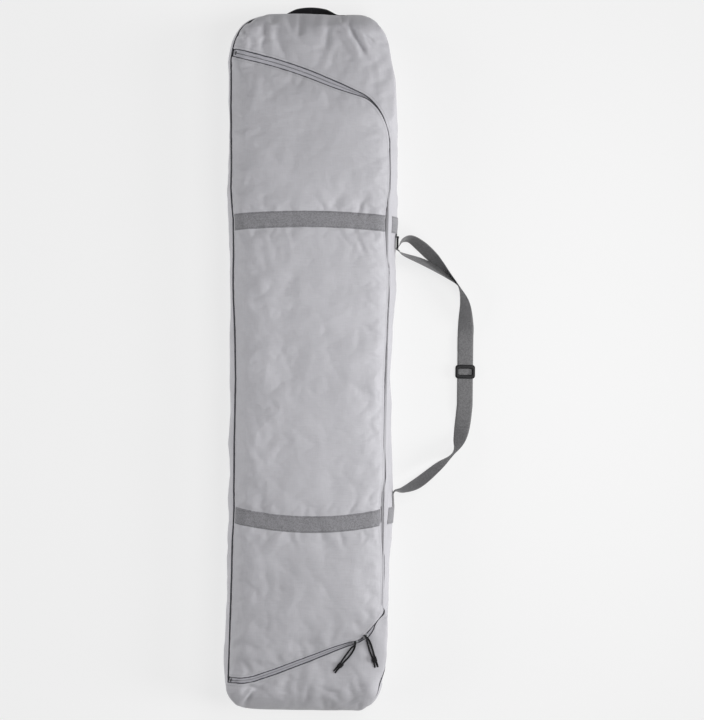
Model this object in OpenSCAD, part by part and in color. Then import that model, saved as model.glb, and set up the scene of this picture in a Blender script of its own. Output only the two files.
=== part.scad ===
// Long soft carrying bag for a snowboard, lying on its back panel.
// X runs across the bag, Y along it towards the haul handle, Z from the back panel to the front.
// A D-shaped lid is sewn in along the left seam and closed by a zip on its other three sides.

/* [Bag] */
// Length of the filled bag without the haul handle
bag_length = 1650; // [1500:10:1800]
// Width across the fullest part of the side gussets
bag_width = 388; // [360:2:430]
// Height of the front above the resting face
bag_depth = 110; // [104:1:130]
// Height of the front seam along the sides
seam_height = 90; // [78:1:94]
// Height of the front seam across the two ends
end_height = 62; // [52:1:74]
// How far the gussets swell out past the front seam
gusset_bulge = 9; // [6:0.5:12]
// Width of the rounded shoulder between the flat front and a side seam
shoulder_width = 35; // [32:1:40]
// Corner radius of the top end, seen from the front
top_radius = 90; // [76:1:94]
// Corner radius of the bottom end, seen from the front
bottom_radius = 62; // [54:1:62]
// Length over which the front falls to the end seam
end_fall_length = 52; // [44:1:53]
// Thickness of the lined fabric
fabric = 2; // [1.6:0.1:2.4]
// Radius of the piping cord in the front seam
piping_radius = 2; // [1.5:0.1:2.4]
// Clearance between sewn or sliding pieces
gap = 0.3; // [0.2:0.05:0.4]

/* [Zip] */
// Distance of the upper left zip end from the top of the bag
zip_top_margin = 95; // [92:1:120]
// Distance of the lower left zip end from the bottom of the bag
zip_bottom_margin = 74; // [72:1:100]
// Distance of the zip from the right front seam
zip_edge = 7; // [6:0.5:9]
// Fall of the upper zip line across the bag
zip_top_fall = 129; // [110:1:150]
// Distance of the upper zip line's bend from the left seam
zip_bend = 124; // [100:1:150]
// Fall of the upper zip line down to its bend
zip_bend_fall = 27; // [20:1:34]
// Rise of the lower zip line up to its corner
zip_bottom_rise = 101; // [85:1:115]
// Length of the level start of the lower zip line
zip_foot = 38; // [30:1:50]
// Size of the slanted corner of the lower zip line
zip_corner = 51; // [46:1:60]
// Half of the open width between the fabric edges
zip_opening = 7; // [6.2:0.1:8]
// Width of one half of the zip tape
tape_width = 12; // [10.5:0.5:13]
// Thickness of the zip tape
tape = 0.8; // [0.6:0.1:1]
// Width of one half of the zip coil
coil_width = 2.4; // [2:0.1:3]
// Height of the zip coil
coil = 1.8; // [1.4:0.1:2.2]
// Space between the two halves of the zip
zip_split = 1.2; // [1:0.1:1.4]

/* [Sliders and pulls] */
// Length of a zip slider
slider_length = 13; // [11:0.5:14]
// Width of a zip slider
slider_width = 10; // [9:0.5:11]
// Thickness of a slider plate
slider_plate = 1.4; // [1.1:0.1:1.6]
// Radius of the slider's bridge
bridge_radius = 1; // [0.8:0.1:1.2]
// Distance of each slider from the corner of the zip line
slider_place = 14.5; // [14:0.5:18]
// Diameter of the pull cord
cord = 2.6; // [2.2:0.1:2.7]
// Diameter of the knot in the pull cord
knot = 9; // [8:0.5:10]

/* [Webbing] */
// Width of the shoulder strap and of the bands
webbing = 38; // [30:1:42]
// Thickness of the webbing
webbing_thickness = 1.4; // [1.2:0.1:1.6]
// Distance of the upper band from the middle of the bag
upper_band = 326; // [280:1:380]
// Bow of the upper band
upper_bow = 8; // [0:1:12]
// Distance of the lower band from the middle of the bag
lower_band = 360; // [320:1:400]
// Bow of the lower band
lower_bow = 19; // [0:1:24]
// Width of the shoulder strap's curve, from the gusset to its middle line
strap_reach = 176; // [166:1:186]
// Radius of the wire of the strap ring
ring_wire = 2; // [1.6:0.1:2.4]
// Space inside the strap ring along the bag
ring_window = 21; // [18:0.5:24]
// Distance from the lower band to the point where the strap leaves the gusset
strap_end = 32; // [28:1:40]
// Length of the adjuster along the strap
adjuster_length = 33; // [28:1:38]
// Width of the adjuster's side rails
adjuster_rail = 4; // [3:0.5:5]
// Height of the adjuster's bars
adjuster_bar = 2.5; // [2:0.1:3]
// Distance of the adjuster below the middle of the bag
adjuster_place = 19; // [10:1:30]
// Length of the sewn webbing tail behind the adjuster
adjuster_tail = 38; // [34:1:44]

/* [Haul handle] */
// Length of the free part of the haul handle
handle_length = 118; // [100:2:130]
// Length of the handle's middle part, which tilts
handle_grip = 72; // [60:2:76]
// Width of the haul handle
handle_width = 25; // [20:1:30]
// Bow of the haul handle away from the end
handle_bow = 12; // [9:0.5:15]
// Length of each sewn handle end
handle_end = 28; // [20:1:32]

/* [Hidden] */
$fn = 64;
side_x = bag_width / 2;
end_y = bag_length / 2;
seam_x = side_x - gusset_bulge;
seam_y = end_y - gusset_bulge;
fall_y = seam_y - end_fall_length;
front_flat = 2 * (seam_x - shoulder_width);
shoulder_drop = bag_depth - seam_height;
shoulder_radius = (pow(shoulder_width, 2) + pow(shoulder_drop, 2)) / (2 * shoulder_drop);
shoulder_z = bag_depth - shoulder_radius;
gusset_rise = (seam_height - fabric) / 2;
gusset_radius = (pow(gusset_rise, 2) + pow(gusset_bulge, 2)) / (2 * gusset_bulge);
gusset_z = fabric + gusset_rise;
seam_gap = piping_radius + gap;
wall_top = seam_height - seam_gap;

// Depths of the zip's layers below the front surface
tape_top = fabric + gap;
tape_bottom = tape_top + tape;
coil_top = tape_bottom + gap;
coil_bottom = coil_top + coil;

// Corners of the zip line from its upper left end round the right side to its lower left end
zip_x = seam_x - zip_edge;
zip_top_y = end_y - zip_top_margin;
zip_bottom_y = zip_bottom_margin - end_y;
zip_corners = [
    [-seam_x, zip_top_y],
    [-seam_x + zip_bend, zip_top_y - zip_bend_fall],
    [zip_x, zip_top_y - zip_top_fall],
    [zip_x, zip_bottom_y + zip_bottom_rise + zip_corner],
    [zip_x - zip_corner, zip_bottom_y + zip_bottom_rise],
    [-seam_x + zip_foot, zip_bottom_y + 2],
    [-seam_x, zip_bottom_y]
];
zip_radii = [0, 900, 80, 40, 30, 150, 0];
slider_corner = zip_corners[4];
left_way = unit(zip_corners[5] - slider_corner);
right_way = unit(zip_corners[3] - slider_corner);
slider_top = bag_depth - tape_top + gap + slider_plate;
slider_bottom = bag_depth - coil_bottom - gap - slider_plate;
bridge_z = slider_top + cord + 0.4 + bridge_radius;
bridge_half = 3.6;
cord_turn = bridge_radius + cord / 2 + 0.2;

// Shoulder strap: heights above the floor and the parts that it threads
band_half = webbing / 2;
ring_x = side_x + 9;
ring_tab_y = upper_band - band_half - 9;
ring_bar_y = ring_tab_y - ring_window - 2 * ring_wire;
ring_half = band_half + 1 + ring_wire;
anchor_y = -lower_band + band_half + strap_end;
strap_x = side_x + strap_reach;
tail_z = gap;
bar_z = tail_z + webbing_thickness + gap;
loop_top_z = bar_z + adjuster_bar + gap;
strap_z = loop_top_z + webbing_thickness + gap;
frame_z = strap_z + webbing_thickness + gap;
rail_x = band_half + 0.8;
swing_x = side_x + 6;
flex_reach = 66;
handle_z = fabric + (end_height - fabric) / 2;
handle_radius = (pow(handle_length / 2, 2) + pow(handle_bow, 2)) / (2 * handle_bow);
handle_seat = end_y + gap;

// Strap routes: distance out from the gusset, distance along the bag, height of the lower edge, twist.
// The first list starts at the sewn end, the second runs to the ring's bar and the third away from it.
lower_route = [
    [0.9, 0, gusset_z - band_half, 90], [7, 6, gusset_z - band_half, 90], [30, 8, 26, 110],
    [flex_reach, 25, 21, 130], [flex_reach + 46, 62, 10, 116], [strap_reach - 27, 94, 2.5, 92],
    [strap_reach - 13, 126, 1.5, 45], [strap_reach - 5, 163, 2.5, 14],
    [strap_reach, 210, strap_z + webbing_thickness / 2, 0]
];
upper_route = [
    [strap_reach, -211, strap_z + webbing_thickness / 2, 0], [strap_reach - 1, -178, 4.5, 27],
    [strap_reach - 6, -131, 2.5, 58], [strap_reach - 22, -96, 3, 90], [strap_reach - 45, -74, 5, 99],
    [flex_reach + 30, -52, 11, 112], [flex_reach, -37, 17, 110], [24, -18, 25, 95],
    [13, -6, gusset_z - band_half, 90]
];
return_route = [
    [13, 6, gusset_z - band_half, 90], [24, 15, 27, 98], [41, 14, 25, 115], [flex_reach, -2, 20, 130],
    [flex_reach + 24, -22, 13, 132], [flex_reach + 44, -40, 8.5, 118], [strap_reach - 43, -61, 4.5, 94],
    [strap_reach - 18, -92, 2, 90], [strap_reach - 2, -130, 0.9, 122], [strap_reach + 1, -178, 0.9, 153],
    [strap_reach, -211, bar_z + webbing_thickness / 2, 180],
    [strap_reach, -243, bar_z + webbing_thickness / 2, 180]
];

// Pull cord routes: along the zip, away from the lid, height above the front
left_pull_route = [
    [63, 52, 1.8], [57, 46, 1.8], [49, 39.6, 1.9], [40, 33.4, 1.8], [24, 24.6, 1.8], [9, 13.4, 1.8],
    [2, 5.4, 1.6]
];
left_pull_return = [
    [2.4, 4.4, 5.4], [11, 9, 3], [26, 19, 1.8], [42, 29.6, 1.8], [51.5, 36.2, 1.9], [61, 40, 1.8],
    [69, 43, 1.8]
];
right_pull_route = [
    [-27, 73, -2.4], [-25, 66, -0.8], [-21, 54.4, 1.6], [-15.6, 43, 1.8], [-8.6, 29, 1.8], [-2, 14, 1.8],
    [0, 5.4, 1.6]
];
right_pull_return = [
    [0, 4.4, 5.4], [-5.4, 11.4, 3], [-13.4, 27, 1.8], [-20.4, 41, 1.8], [-24.6, 52.2, 1.8], [-32, 60, 1.8],
    [-38, 66, 1.8]
];

// Colours
shell_grey = [0.70, 0.70, 0.72];
band_grey = [0.42, 0.42, 0.44];
zip_grey = [0.60, 0.60, 0.62];
seam_grey = [0.25, 0.25, 0.28];
black = [0.06, 0.06, 0.07];
steel = [0.62, 0.63, 0.65];

function unit(v) = v / norm(v);
function turned(v) = [v.y, -v.x];
function reverse(list) = [for (i = [len(list) - 1:-1:0]) list[i]];

// Corners of a line rounded to the given radii
function rounded(points, radii, steps = 8) = [
    for (i = [0:len(points) - 1])
        if (radii[i] == 0) points[i]
        else
            let(
                a = unit(points[i] - points[i - 1]),
                b = unit(points[i + 1] - points[i]),
                turn = acos(a * b),
                hand = sign(a.x * b.y - a.y * b.x),
                reach = radii[i] * tan(turn / 2),
                start = points[i] - a * reach,
                out = hand * turned(a)
            )
                for (k = [0:steps])
                    let(w = turn * k / steps)
                        start + radii[i] * (sin(w) * a - (1 - cos(w)) * out)
];

zip_line = rounded(zip_corners, zip_radii);

// Slope of the front shoulders, as the share of a length that shows from the front
function foreshortening(x) = let(run = max(0, abs(x) - front_flat / 2))
    sqrt(1 - pow(min(run, shoulder_width) / shoulder_radius, 2));

// The zip line moved towards the lid by a distance measured on the fabric
function zip_offset(distance) = [
    for (i = [0:len(zip_line) - 1])
        let(
            before = zip_line[max(0, i - 1)],
            after = zip_line[min(len(zip_line) - 1, i + 1)],
            inwards = turned(unit(after - before)),
            shown = 1 - abs(inwards.x) * (1 - foreshortening(zip_line[i].x))
        )
            zip_line[i] + inwards * distance * shown
];

function zip_strip(from, to) = concat(zip_offset(from), reverse(zip_offset(to)));

// Shape of the outline and of the front
function end_radius(y) = y > 0 ? top_radius : bottom_radius;
function outline_half(y, inset) =
    let(r = end_radius(y), beyond = abs(y) - end_y + r)
        side_x - r + (beyond <= 0 ? r - inset : sqrt(max(0, pow(r - inset, 2) - pow(beyond, 2))));
function outline_end(x, inset, r) =
    let(beyond = abs(x) - side_x + r)
        end_y - r + (beyond <= 0 ? r - inset : sqrt(max(0, pow(r - inset, 2) - pow(beyond, 2))));
function end_fall(y) = pow(min(1, max(0, abs(y) - fall_y) / end_fall_length), 2);
function seam_z(y) = seam_height - end_fall(y) * (seam_height - end_height);
function shoulder_height(x) =
    shoulder_z + sqrt(pow(shoulder_radius, 2) - pow(max(0, abs(x) - front_flat / 2), 2));
function front_z(x, y) =
    let(wide = min(seam_x, abs(x) * seam_x / outline_half(y, gusset_bulge)))
        seam_z(y) + (1 - end_fall(y)) * (shoulder_height(wide) - seam_height);

// Points and outward directions along one end of the bag, from its left side to its right side
function end_frames(top, left_y, right_y) =
    let(
        r = top ? top_radius : bottom_radius,
        way = top ? 1 : -1,
        cx = side_x - r,
        cy = end_y - r
    )
        concat(
            abs(left_y) < cy - 1 ? [[-side_x, left_y, -1, 0]] : [],
            [for (a = [180:-9:90]) [-cx + r * cos(a), way * (cy + r * sin(a)), cos(a), way * sin(a)]],
            [for (x = [-cx / 2, 0, cx / 2]) [x, way * end_y, 0, way]],
            [for (a = [90:-9:0]) [cx + r * cos(a), way * (cy + r * sin(a)), cos(a), way * sin(a)]],
            abs(right_y) < cy - 1 ? [[side_x, right_y, 1, 0]] : []
        );

// A closed solid through a list of rings
module skin(rings) {
    n = len(rings[0]);
    last = len(rings) - 1;
    polyhedron(
        points = [for (ring = rings) each ring],
        faces = concat(
            [for (i = [1:n - 2]) [0, i, i + 1]],
            [for (i = [1:n - 2]) [last * n, last * n + i + 1, last * n + i]],
            [
                for (k = [0:last - 1], i = [0:n - 1])
                    let(j = (i + 1) % n)
                        each [
                            [k * n + i, (k + 1) * n + i, (k + 1) * n + j],
                            [k * n + i, (k + 1) * n + j, k * n + j]
                        ]
            ]
        ),
        convexity = 8
    );
}

// A flat solid between two grids of points
module sheet(top, bottom) {
    rows = len(top[0]);
    columns = len(top);
    below = rows * columns;
    polyhedron(
        points = concat([for (line = top) each line], [for (line = bottom) each line]),
        faces = concat(
            [
                for (i = [0:columns - 2], j = [0:rows - 2])
                    let(a = i * rows + j, b = a + rows)
                        each [
                            [a, a + 1, b + 1], [a, b + 1, b],
                            [below + a, below + b + 1, below + a + 1], [below + a, below + b, below + b + 1]
                        ]
            ],
            [
                for (i = [0:columns - 2])
                    let(a = i * rows, b = a + rows, c = a + rows - 1, d = c + rows)
                        each [
                            [a, b, below + b], [a, below + b, below + a],
                            [c, below + d, d], [c, below + c, below + d]
                        ]
            ],
            [
                for (j = [0:rows - 2])
                    let(a = j, c = (columns - 1) * rows + j)
                        each [
                            [a, below + a + 1, a + 1], [a, below + a, below + a + 1],
                            [c, c + 1, below + c + 1], [c, below + c + 1, below + c]
                        ]
            ]
        ),
        convexity = 8
    );
}

// A smooth curve through a route of points
function curve(route, steps) = [
    for (i = [0:len(route) - 2], k = [0:steps - 1])
        let(
            a = route[max(0, i - 1)],
            b = route[i],
            c = route[i + 1],
            d = route[min(len(route) - 1, i + 2)],
            u = k / steps
        )
            b + u * (c - a) / 2
                + pow(u, 2) * (a - 2.5 * b + 2 * c - d / 2)
                + pow(u, 3) * (1.5 * b - a / 2 - 1.5 * c + d / 2)
];
function smooth(route, steps) = concat(curve(route, steps), [route[len(route) - 1]]);
function tangent(route, i) = unit(route[min(len(route) - 1, i + 1)] - route[max(0, i - 1)]);

// Webbing along a route of points with heights of the lower edge and twists
function webbing_rings(route) = [
    for (i = [0:len(route) - 1])
        let(
            p = route[i],
            twist = p[3],
            middle = [p.x, p.y, p.z + band_half * abs(sin(twist))],
            way = tangent([for (q = route) [q.x, q.y]], i),
            across = [way.y * cos(twist), -way.x * cos(twist), sin(twist)],
            out = [-way.y * sin(twist), way.x * sin(twist), cos(twist)]
        )
            [
                for (corner = [[1, 1], [1, -1], [-1, -1], [-1, 1]])
                    middle + corner[0] * band_half * across + corner[1] * webbing_thickness / 2 * out
            ]
];

// A round cord along a route of points
function cord_rings(route, radius, sides) = [
    for (i = [0:len(route) - 1])
        let(
            way = tangent(route, i),
            across = unit(cross(way, [0, 0, 1]) + [0.001, 0, 0]),
            up = cross(across, way)
        )
            [
                for (k = [0:sides - 1])
                    let(a = 360 * k / sides)
                        route[i] + radius * (cos(a) * across - sin(a) * up)
            ]
];

// A flat shape in X and Z drawn out along the bag
module along_bag(from, to) {
    translate([0, to, 0])
        rotate([90, 0, 0])
            linear_extrude(to - from)
                children();
}

// Everything below the front, lowered by a depth
module below_front(depth) {
    reach = front_flat / 2 + shoulder_radius - depth;
    translate([-front_flat / 2, 0])
        square([front_flat, bag_depth - depth]);
    translate([-reach, 0])
        square([2 * reach, shoulder_z]);
    for (side = [-1, 1])
        translate([side * front_flat / 2, shoulder_z])
            circle(shoulder_radius - depth, $fn = 96);
}

// A layer of the front between two depths, inside an outline seen from the front
module front_layer(top, bottom, outline) {
    intersection() {
        along_bag(-end_y, end_y)
            difference() {
                below_front(top);
                below_front(bottom);
                translate([-bag_width, -1])
                    square([2 * bag_width, shoulder_z + 3]);
            }
        linear_extrude(2 * bag_depth)
            polygon(outline);
    }
}

// The part of the front that lies right of the hinge piping
module right_of_piping() {
    translate([-seam_x + seam_gap, -end_y, 0])
        cube([bag_width, bag_length, 2 * bag_depth]);
}

// Curved layer on the outside of a gusset, between two heights
module gusset_profile(inner, outer, low, high) {
    intersection() {
        translate([side_x - gusset_radius, gusset_z])
            difference() {
                circle(gusset_radius + outer, $fn = 128);
                circle(gusset_radius + inner, $fn = 128);
            }
        translate([seam_x - 20, low])
            square([60, high - low]);
    }
}

module rounded_plate(inset, height) {
    linear_extrude(height) {
        for (side = [-1, 1]) {
            translate([side * (side_x - top_radius), end_y - top_radius])
                circle(top_radius - inset);
            translate([side * (side_x - bottom_radius), bottom_radius - end_y])
                circle(bottom_radius - inset);
        }
        translate([inset - side_x, bottom_radius - end_y])
            square([bag_width - 2 * inset, bag_length - top_radius - bottom_radius]);
        translate([top_radius - side_x, 0])
            square([bag_width - 2 * top_radius, end_y - inset]);
        translate([bottom_radius - side_x, inset - end_y])
            square([bag_width - 2 * bottom_radius, end_y]);
    }
}

module back_panel() {
    color(shell_grey)
        rounded_plate(gusset_bulge, fabric);
}

module back_seam_binding() {
    color(seam_grey)
        translate([0, 0, fabric])
            difference() {
                rounded_plate(gusset_bulge + fabric + gap, 10);
                translate([0, 0, -1])
                    rounded_plate(gusset_bulge + fabric + gap + 1.2, 12);
            }
}

module left_gusset() {
    color(shell_grey)
        mirror([1, 0, 0])
            along_bag(bottom_radius - end_y, end_y - top_radius)
                gusset_profile(-fabric, 0, fabric, wall_top);
}

module right_gusset() {
    color(shell_grey)
        along_bag(bottom_radius - end_y, end_y - top_radius)
            difference() {
                gusset_profile(-fabric, 0, fabric, wall_top);
                difference() {
                    translate([seam_x - 20, shoulder_z])
                        square([20, shoulder_radius]);
                    below_front(tape_bottom + gap);
                }
            }
}

module end_gusset(top) {
    steps = 8;
    frames = end_frames(top, (top ? 1 : -1) * end_y, (top ? 1 : -1) * end_y);
    rings = [
        for (f = frames)
            let(height = seam_z(f[1] - f[3] * gusset_bulge) - fabric)
                [
                    for (layer = [0, 1], k = [0:steps])
                        let(
                            t = (1 - seam_gap / height) * (layer == 0 ? k : steps - k) / steps,
                            inset = gusset_bulge * pow(2 * t - 1, 2) + layer * fabric
                        )
                            [f[0] - f[2] * inset, f[1] - f[3] * inset, fabric + height * t]
                ]
    ];
    color(shell_grey)
        skin(top ? rings : reverse(rings));
}

module end_panel(top) {
    columns = 28;
    rows = 14;
    way = top ? 1 : -1;
    half = seam_x - seam_gap - 0.5;
    all = zip_offset(-zip_opening);
    edge = top ? [for (p = all) if (p.y > 0) p] : [for (p = reverse(all)) if (p.y < 0) p];
    inset = gusset_bulge + seam_gap;
    grid = [
        for (i = [0:columns])
            let(
                x = -half * cos(180 * i / columns),
                near = way * lookup(x, edge),
                far = outline_end(x, inset, top ? top_radius : bottom_radius)
            )
                [for (j = [0:rows]) let(u = 1 - pow(1 - j / rows, 1.6)) [x, way * (near + (far - near) * u)]]
    ];
    lines = top ? grid : [for (line = grid) reverse(line)];
    color(shell_grey)
        sheet(
            [for (line = lines) [for (p = line) [p.x, p.y, front_z(p.x, p.y)]]],
            [for (line = lines) [for (p = line) [p.x, p.y, front_z(p.x, p.y) - fabric]]]
        );
}

module hinge_piping() {
    color(seam_grey)
        translate([-seam_x, zip_bottom_y, seam_height])
            rotate([-90, 0, 0])
                cylinder(h = zip_top_y - zip_bottom_y, r = piping_radius);
}

module end_piping(top) {
    way = top ? 1 : -1;
    left_y = top ? zip_top_y + gap : zip_bottom_y - gap;
    right_y = top ? zip_corners[2].y - 20 : zip_corners[3].y + 8;
    route = [
        for (f = end_frames(top, left_y, right_y))
            let(x = f[0] - f[2] * gusset_bulge, y = f[1] - f[3] * gusset_bulge)
                [x, y, seam_z(y)]
    ];
    color(seam_grey)
        skin(cord_rings(top ? route : reverse(route), piping_radius, 8));
}

module zip_facing() {
    from = zip_corners[3].y + 8 + gap;
    to = zip_corners[2].y - 20 - gap;
    shown = zip_opening * foreshortening(zip_x);
    color(shell_grey)
        front_layer(
            0, fabric,
            [[zip_x + shown, from], [seam_x, from], [seam_x, to], [zip_x + shown, to]]
        );
}

module zip_tape(side) {
    color(zip_grey)
        intersection() {
            front_layer(tape_top, tape_bottom, zip_strip(side * zip_split / 2, side * tape_width));
            right_of_piping();
            translate([-seam_x, -end_y, 0])
                cube([2 * seam_x - 0.6, bag_length, 2 * bag_depth]);
        }
}

module zip_coil(side) {
    split = zip_split / 2 - 0.2;
    color(zip_grey)
        intersection() {
            front_layer(coil_top, coil_bottom, zip_strip(side * split, side * (split + coil_width)));
            translate([-seam_x + 12, -end_y, 0])
                cube([2 * seam_x, bag_length, 2 * bag_depth]);
        }
}

module zip_end_stops() {
    left = -seam_x + 7;
    color(steel)
        for (y = [zip_top_y - 2, zip_bottom_y])
            front_layer(
                coil_top, coil_bottom,
                [[left, y - 4], [left + 4, y - 4], [left + 4, y + 4], [left, y + 4]]
            );
}

module lid_panel() {
    color(shell_grey)
        difference() {
            intersection() {
                front_layer(0, fabric, zip_offset(zip_opening));
                translate([0.6 * seam_gap - seam_x, -end_y, 0])
                    cube([bag_width, bag_length, 2 * bag_depth]);
            }
            translate([-seam_x, -end_y, seam_height])
                rotate([-90, 0, 0])
                    cylinder(h = bag_length, r = seam_gap);
        }
}

module lid_band(place, bow) {
    left = -seam_x + seam_gap + 1.5;
    right = zip_x - zip_opening * foreshortening(zip_x);
    steps = 16;
    line = [
        for (i = [0:steps])
            let(x = left + (right - left) * i / steps)
                [x, place + bow * (1 - pow(x / seam_x, 2))]
    ];
    color(band_grey)
        front_layer(
            -gap - webbing_thickness, -gap,
            concat([for (p = line) p + [0, band_half]], [for (p = reverse(line)) p - [0, band_half]])
        );
}

module side_band(place) {
    color(band_grey)
        along_bag(place - band_half, place + band_half)
            gusset_profile(gap, gap + webbing_thickness, fabric + 1, seam_height - 10);
}

module strap_anchor() {
    from = -lower_band + band_half + gap;
    color(band_grey)
        along_bag(from, anchor_y - 0.7)
            gusset_profile(gap, gap + webbing_thickness, gusset_z - band_half, gusset_z + band_half);
}

module ring_tab() {
    width = webbing - 2;
    seat = side_x + gap;
    color(band_grey)
        translate([0, 0, gusset_z - width / 2])
            difference() {
                union() {
                    translate([ring_x, ring_tab_y, 0])
                        cylinder(h = width, r = ring_wire + 1.4);
                    linear_extrude(width)
                        polygon([
                            [seat, ring_tab_y], [seat, ring_tab_y + 9 - gap],
                            [seat + 2.6, ring_tab_y + 9 - gap],
                            [ring_x + 2.2, ring_tab_y + 2.2], [ring_x - 2.2, ring_tab_y - 2.2]
                        ]);
                }
                translate([ring_x, ring_tab_y, -1])
                    cylinder(h = width + 2, r = ring_wire + gap);
            }
}

module strap_ring() {
    color(black)
        translate([ring_x, 0, gusset_z]) {
            for (y = [ring_tab_y, ring_bar_y])
                translate([0, y, -ring_half])
                    cylinder(h = 2 * ring_half, r = ring_wire);
            for (z = [-ring_half, ring_half])
                translate([0, ring_bar_y, z])
                    rotate([-90, 0, 0])
                        cylinder(h = ring_tab_y - ring_bar_y, r = ring_wire);
            for (y = [ring_tab_y, ring_bar_y], z = [-ring_half, ring_half])
                translate([0, y, z])
                    sphere(ring_wire);
        }
}

// Strap routes placed on the bag
function placed(route, y) = [for (p = route) [side_x + p[0], y + p[1], p[2], p[3]]];
lower_line = smooth(placed(lower_route, anchor_y), 6);
upper_line = smooth(placed(upper_route, ring_bar_y), 6);
return_line = smooth(placed(return_route, ring_bar_y), 6);
flex_x = side_x + flex_reach;

// The webbing's turn round the ring's bar
ring_turn = ring_wire + gap + webbing_thickness / 2;
turn_line = [
    for (a = [-90:-22.5:-270])
        [ring_x + ring_turn * cos(a), ring_bar_y + ring_turn * sin(a), gusset_z - band_half, 90]
];

// The whole webbing from its sewn end round the ring to its free end, and where its parts begin and end
strap_line = concat(lower_line, upper_line, turn_line, return_line);
strap_rings = webbing_rings(strap_line);
main_end = len(lower_line) + len(upper_line) - 1;
return_start = main_end + len(turn_line) + 1;
strap_last = len(strap_line) - 1;

function flexing(i) = strap_line[i].x < flex_x + 0.01;
function carried(i) = strap_line[i].x > flex_x - 0.01;

module strap_lower_flex() {
    color(band_grey)
        skin([for (i = [0:len(lower_line) - 1]) if (flexing(i)) strap_rings[i]]);
}

module strap_upper_flex() {
    color(band_grey)
        skin([for (i = [len(lower_line):strap_last]) if (flexing(i)) strap_rings[i]]);
}

module shoulder_strap() {
    color(band_grey)
        skin([for (i = [0:main_end]) if (carried(i)) strap_rings[i]]);
}

module strap_return() {
    color(band_grey)
        skin([for (i = [return_start:strap_last]) if (carried(i)) strap_rings[i]]);
}

module strap_adjuster() {
    outer = 2 * (rail_x + adjuster_rail);
    bar = 5;
    color(black)
        translate([strap_x, -adjuster_place, 0]) {
            for (side = [-1, 1])
                translate([side * (rail_x + adjuster_rail / 2), 0, (bar_z + frame_z + adjuster_bar) / 2])
                    cube([adjuster_rail, adjuster_length, frame_z + adjuster_bar - bar_z], center = true);
            for (y = [-adjuster_length / 2, adjuster_length / 2 - bar])
                translate([-outer / 2, y, frame_z])
                    cube([outer, bar, adjuster_bar]);
            translate([-outer / 2, -bar / 2, bar_z])
                cube([outer, bar, adjuster_bar]);
        }
}

module adjuster_loop() {
    bar = 5;
    half = bar / 2 + gap;
    color(band_grey)
        translate([strap_x - band_half + 1, -adjuster_place, 0])
            rotate([90, 0, 90])
                linear_extrude(webbing - 2) {
                    translate([-half - webbing_thickness, tail_z])
                        difference() {
                            square([
                                2 * half + 2 * webbing_thickness, loop_top_z + webbing_thickness - tail_z
                            ]);
                            translate([webbing_thickness, webbing_thickness])
                                square([2 * half, adjuster_bar + 2 * gap]);
                        }
                    translate([0, tail_z])
                        square([adjuster_tail, webbing_thickness]);
                }
}

module slider(way, place) {
    side = slider_width / 2;
    color(steel)
        translate([place.x, place.y, 0])
            rotate([0, 0, atan2(way.y, way.x)]) {
                for (z = [slider_top - slider_plate, slider_bottom])
                    translate([0, 0, z])
                        linear_extrude(slider_plate)
                            polygon([
                                [-slider_length / 2, -side * 0.7], [-slider_length / 2, side * 0.7],
                                [0, side], [slider_length / 2 - 2, side], [slider_length / 2, side * 0.6],
                                [slider_length / 2, -side * 0.6], [slider_length / 2 - 2, -side], [0, -side]
                            ]);
                translate([-3.5, -0.3, slider_bottom])
                    cube([7, 0.6, slider_top - slider_bottom]);
                for (x = [-bridge_half, bridge_half])
                    translate([x, 0, slider_top - 0.4])
                        cylinder(h = bridge_z - slider_top + 0.4, r = bridge_radius);
                translate([-bridge_half - bridge_radius, 0, bridge_z])
                    rotate([0, 90, 0])
                        cylinder(h = 2 * (bridge_half + bridge_radius), r = bridge_radius);
            }
}

left_place = slider_corner + slider_place * left_way;
right_place = slider_corner + slider_place * right_way;

// A pull cord runs under the bridge, round it and back over it
function pull_line(way, place, away, route, back) =
    let(
        turn = [
            for (a = [-90:-45:-270])
                [0, cord_turn * cos(a), bridge_z - bag_depth + cord_turn * sin(a)]
        ],
        local = concat(route, turn, back)
    )
        [
            for (p = local)
                [
                    place.x + p[0] * way.x + p[1] * away.x,
                    place.y + p[0] * way.y + p[1] * away.y,
                    bag_depth + p[2]
                ]
        ];
left_pull_line = pull_line(left_way, left_place, -turned(left_way), left_pull_route, left_pull_return);
right_pull_line = pull_line(right_way, right_place, turned(right_way), right_pull_route, right_pull_return);

module pull_cord(line) {
    color(black)
        skin(cord_rings(smooth(line, 2), cord / 2, 8));
}

module pull_knot(line) {
    middle = (line[2] + line[len(line) - 3]) / 2;
    color(black)
        translate([middle.x, middle.y, bag_depth + knot / 2 + gap])
            sphere(knot / 2);
}

// The part of the handle's arc that lies between two distances from its middle, on one side
module handle_arc(from, to) {
    centre = handle_seat + handle_bow - handle_radius;
    intersection() {
        translate([0, centre, handle_z - handle_width / 2])
            difference() {
                cylinder(h = handle_width, r = handle_radius + 2, $fn = 128);
                translate([0, 0, -1])
                    cylinder(h = handle_width + 2, r = handle_radius, $fn = 128);
            }
        translate([from, handle_seat, 0])
            cube([to - from, handle_radius, bag_depth]);
    }
}

module haul_handle() {
    color(black)
        handle_arc(-handle_grip / 2, handle_grip / 2);
}

module handle_flex() {
    color(black)
        for (side = [0, 1])
            mirror([side, 0, 0])
                handle_arc(handle_grip / 2, handle_length / 2);
}

module handle_ends() {
    color(black)
        for (side = [-1, 1])
            translate([
                side * (handle_length + handle_end) / 2 - handle_end / 2 + side * gap,
                handle_seat, handle_z - handle_width / 2
            ])
                cube([handle_end, 2, handle_width]);
}

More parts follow.
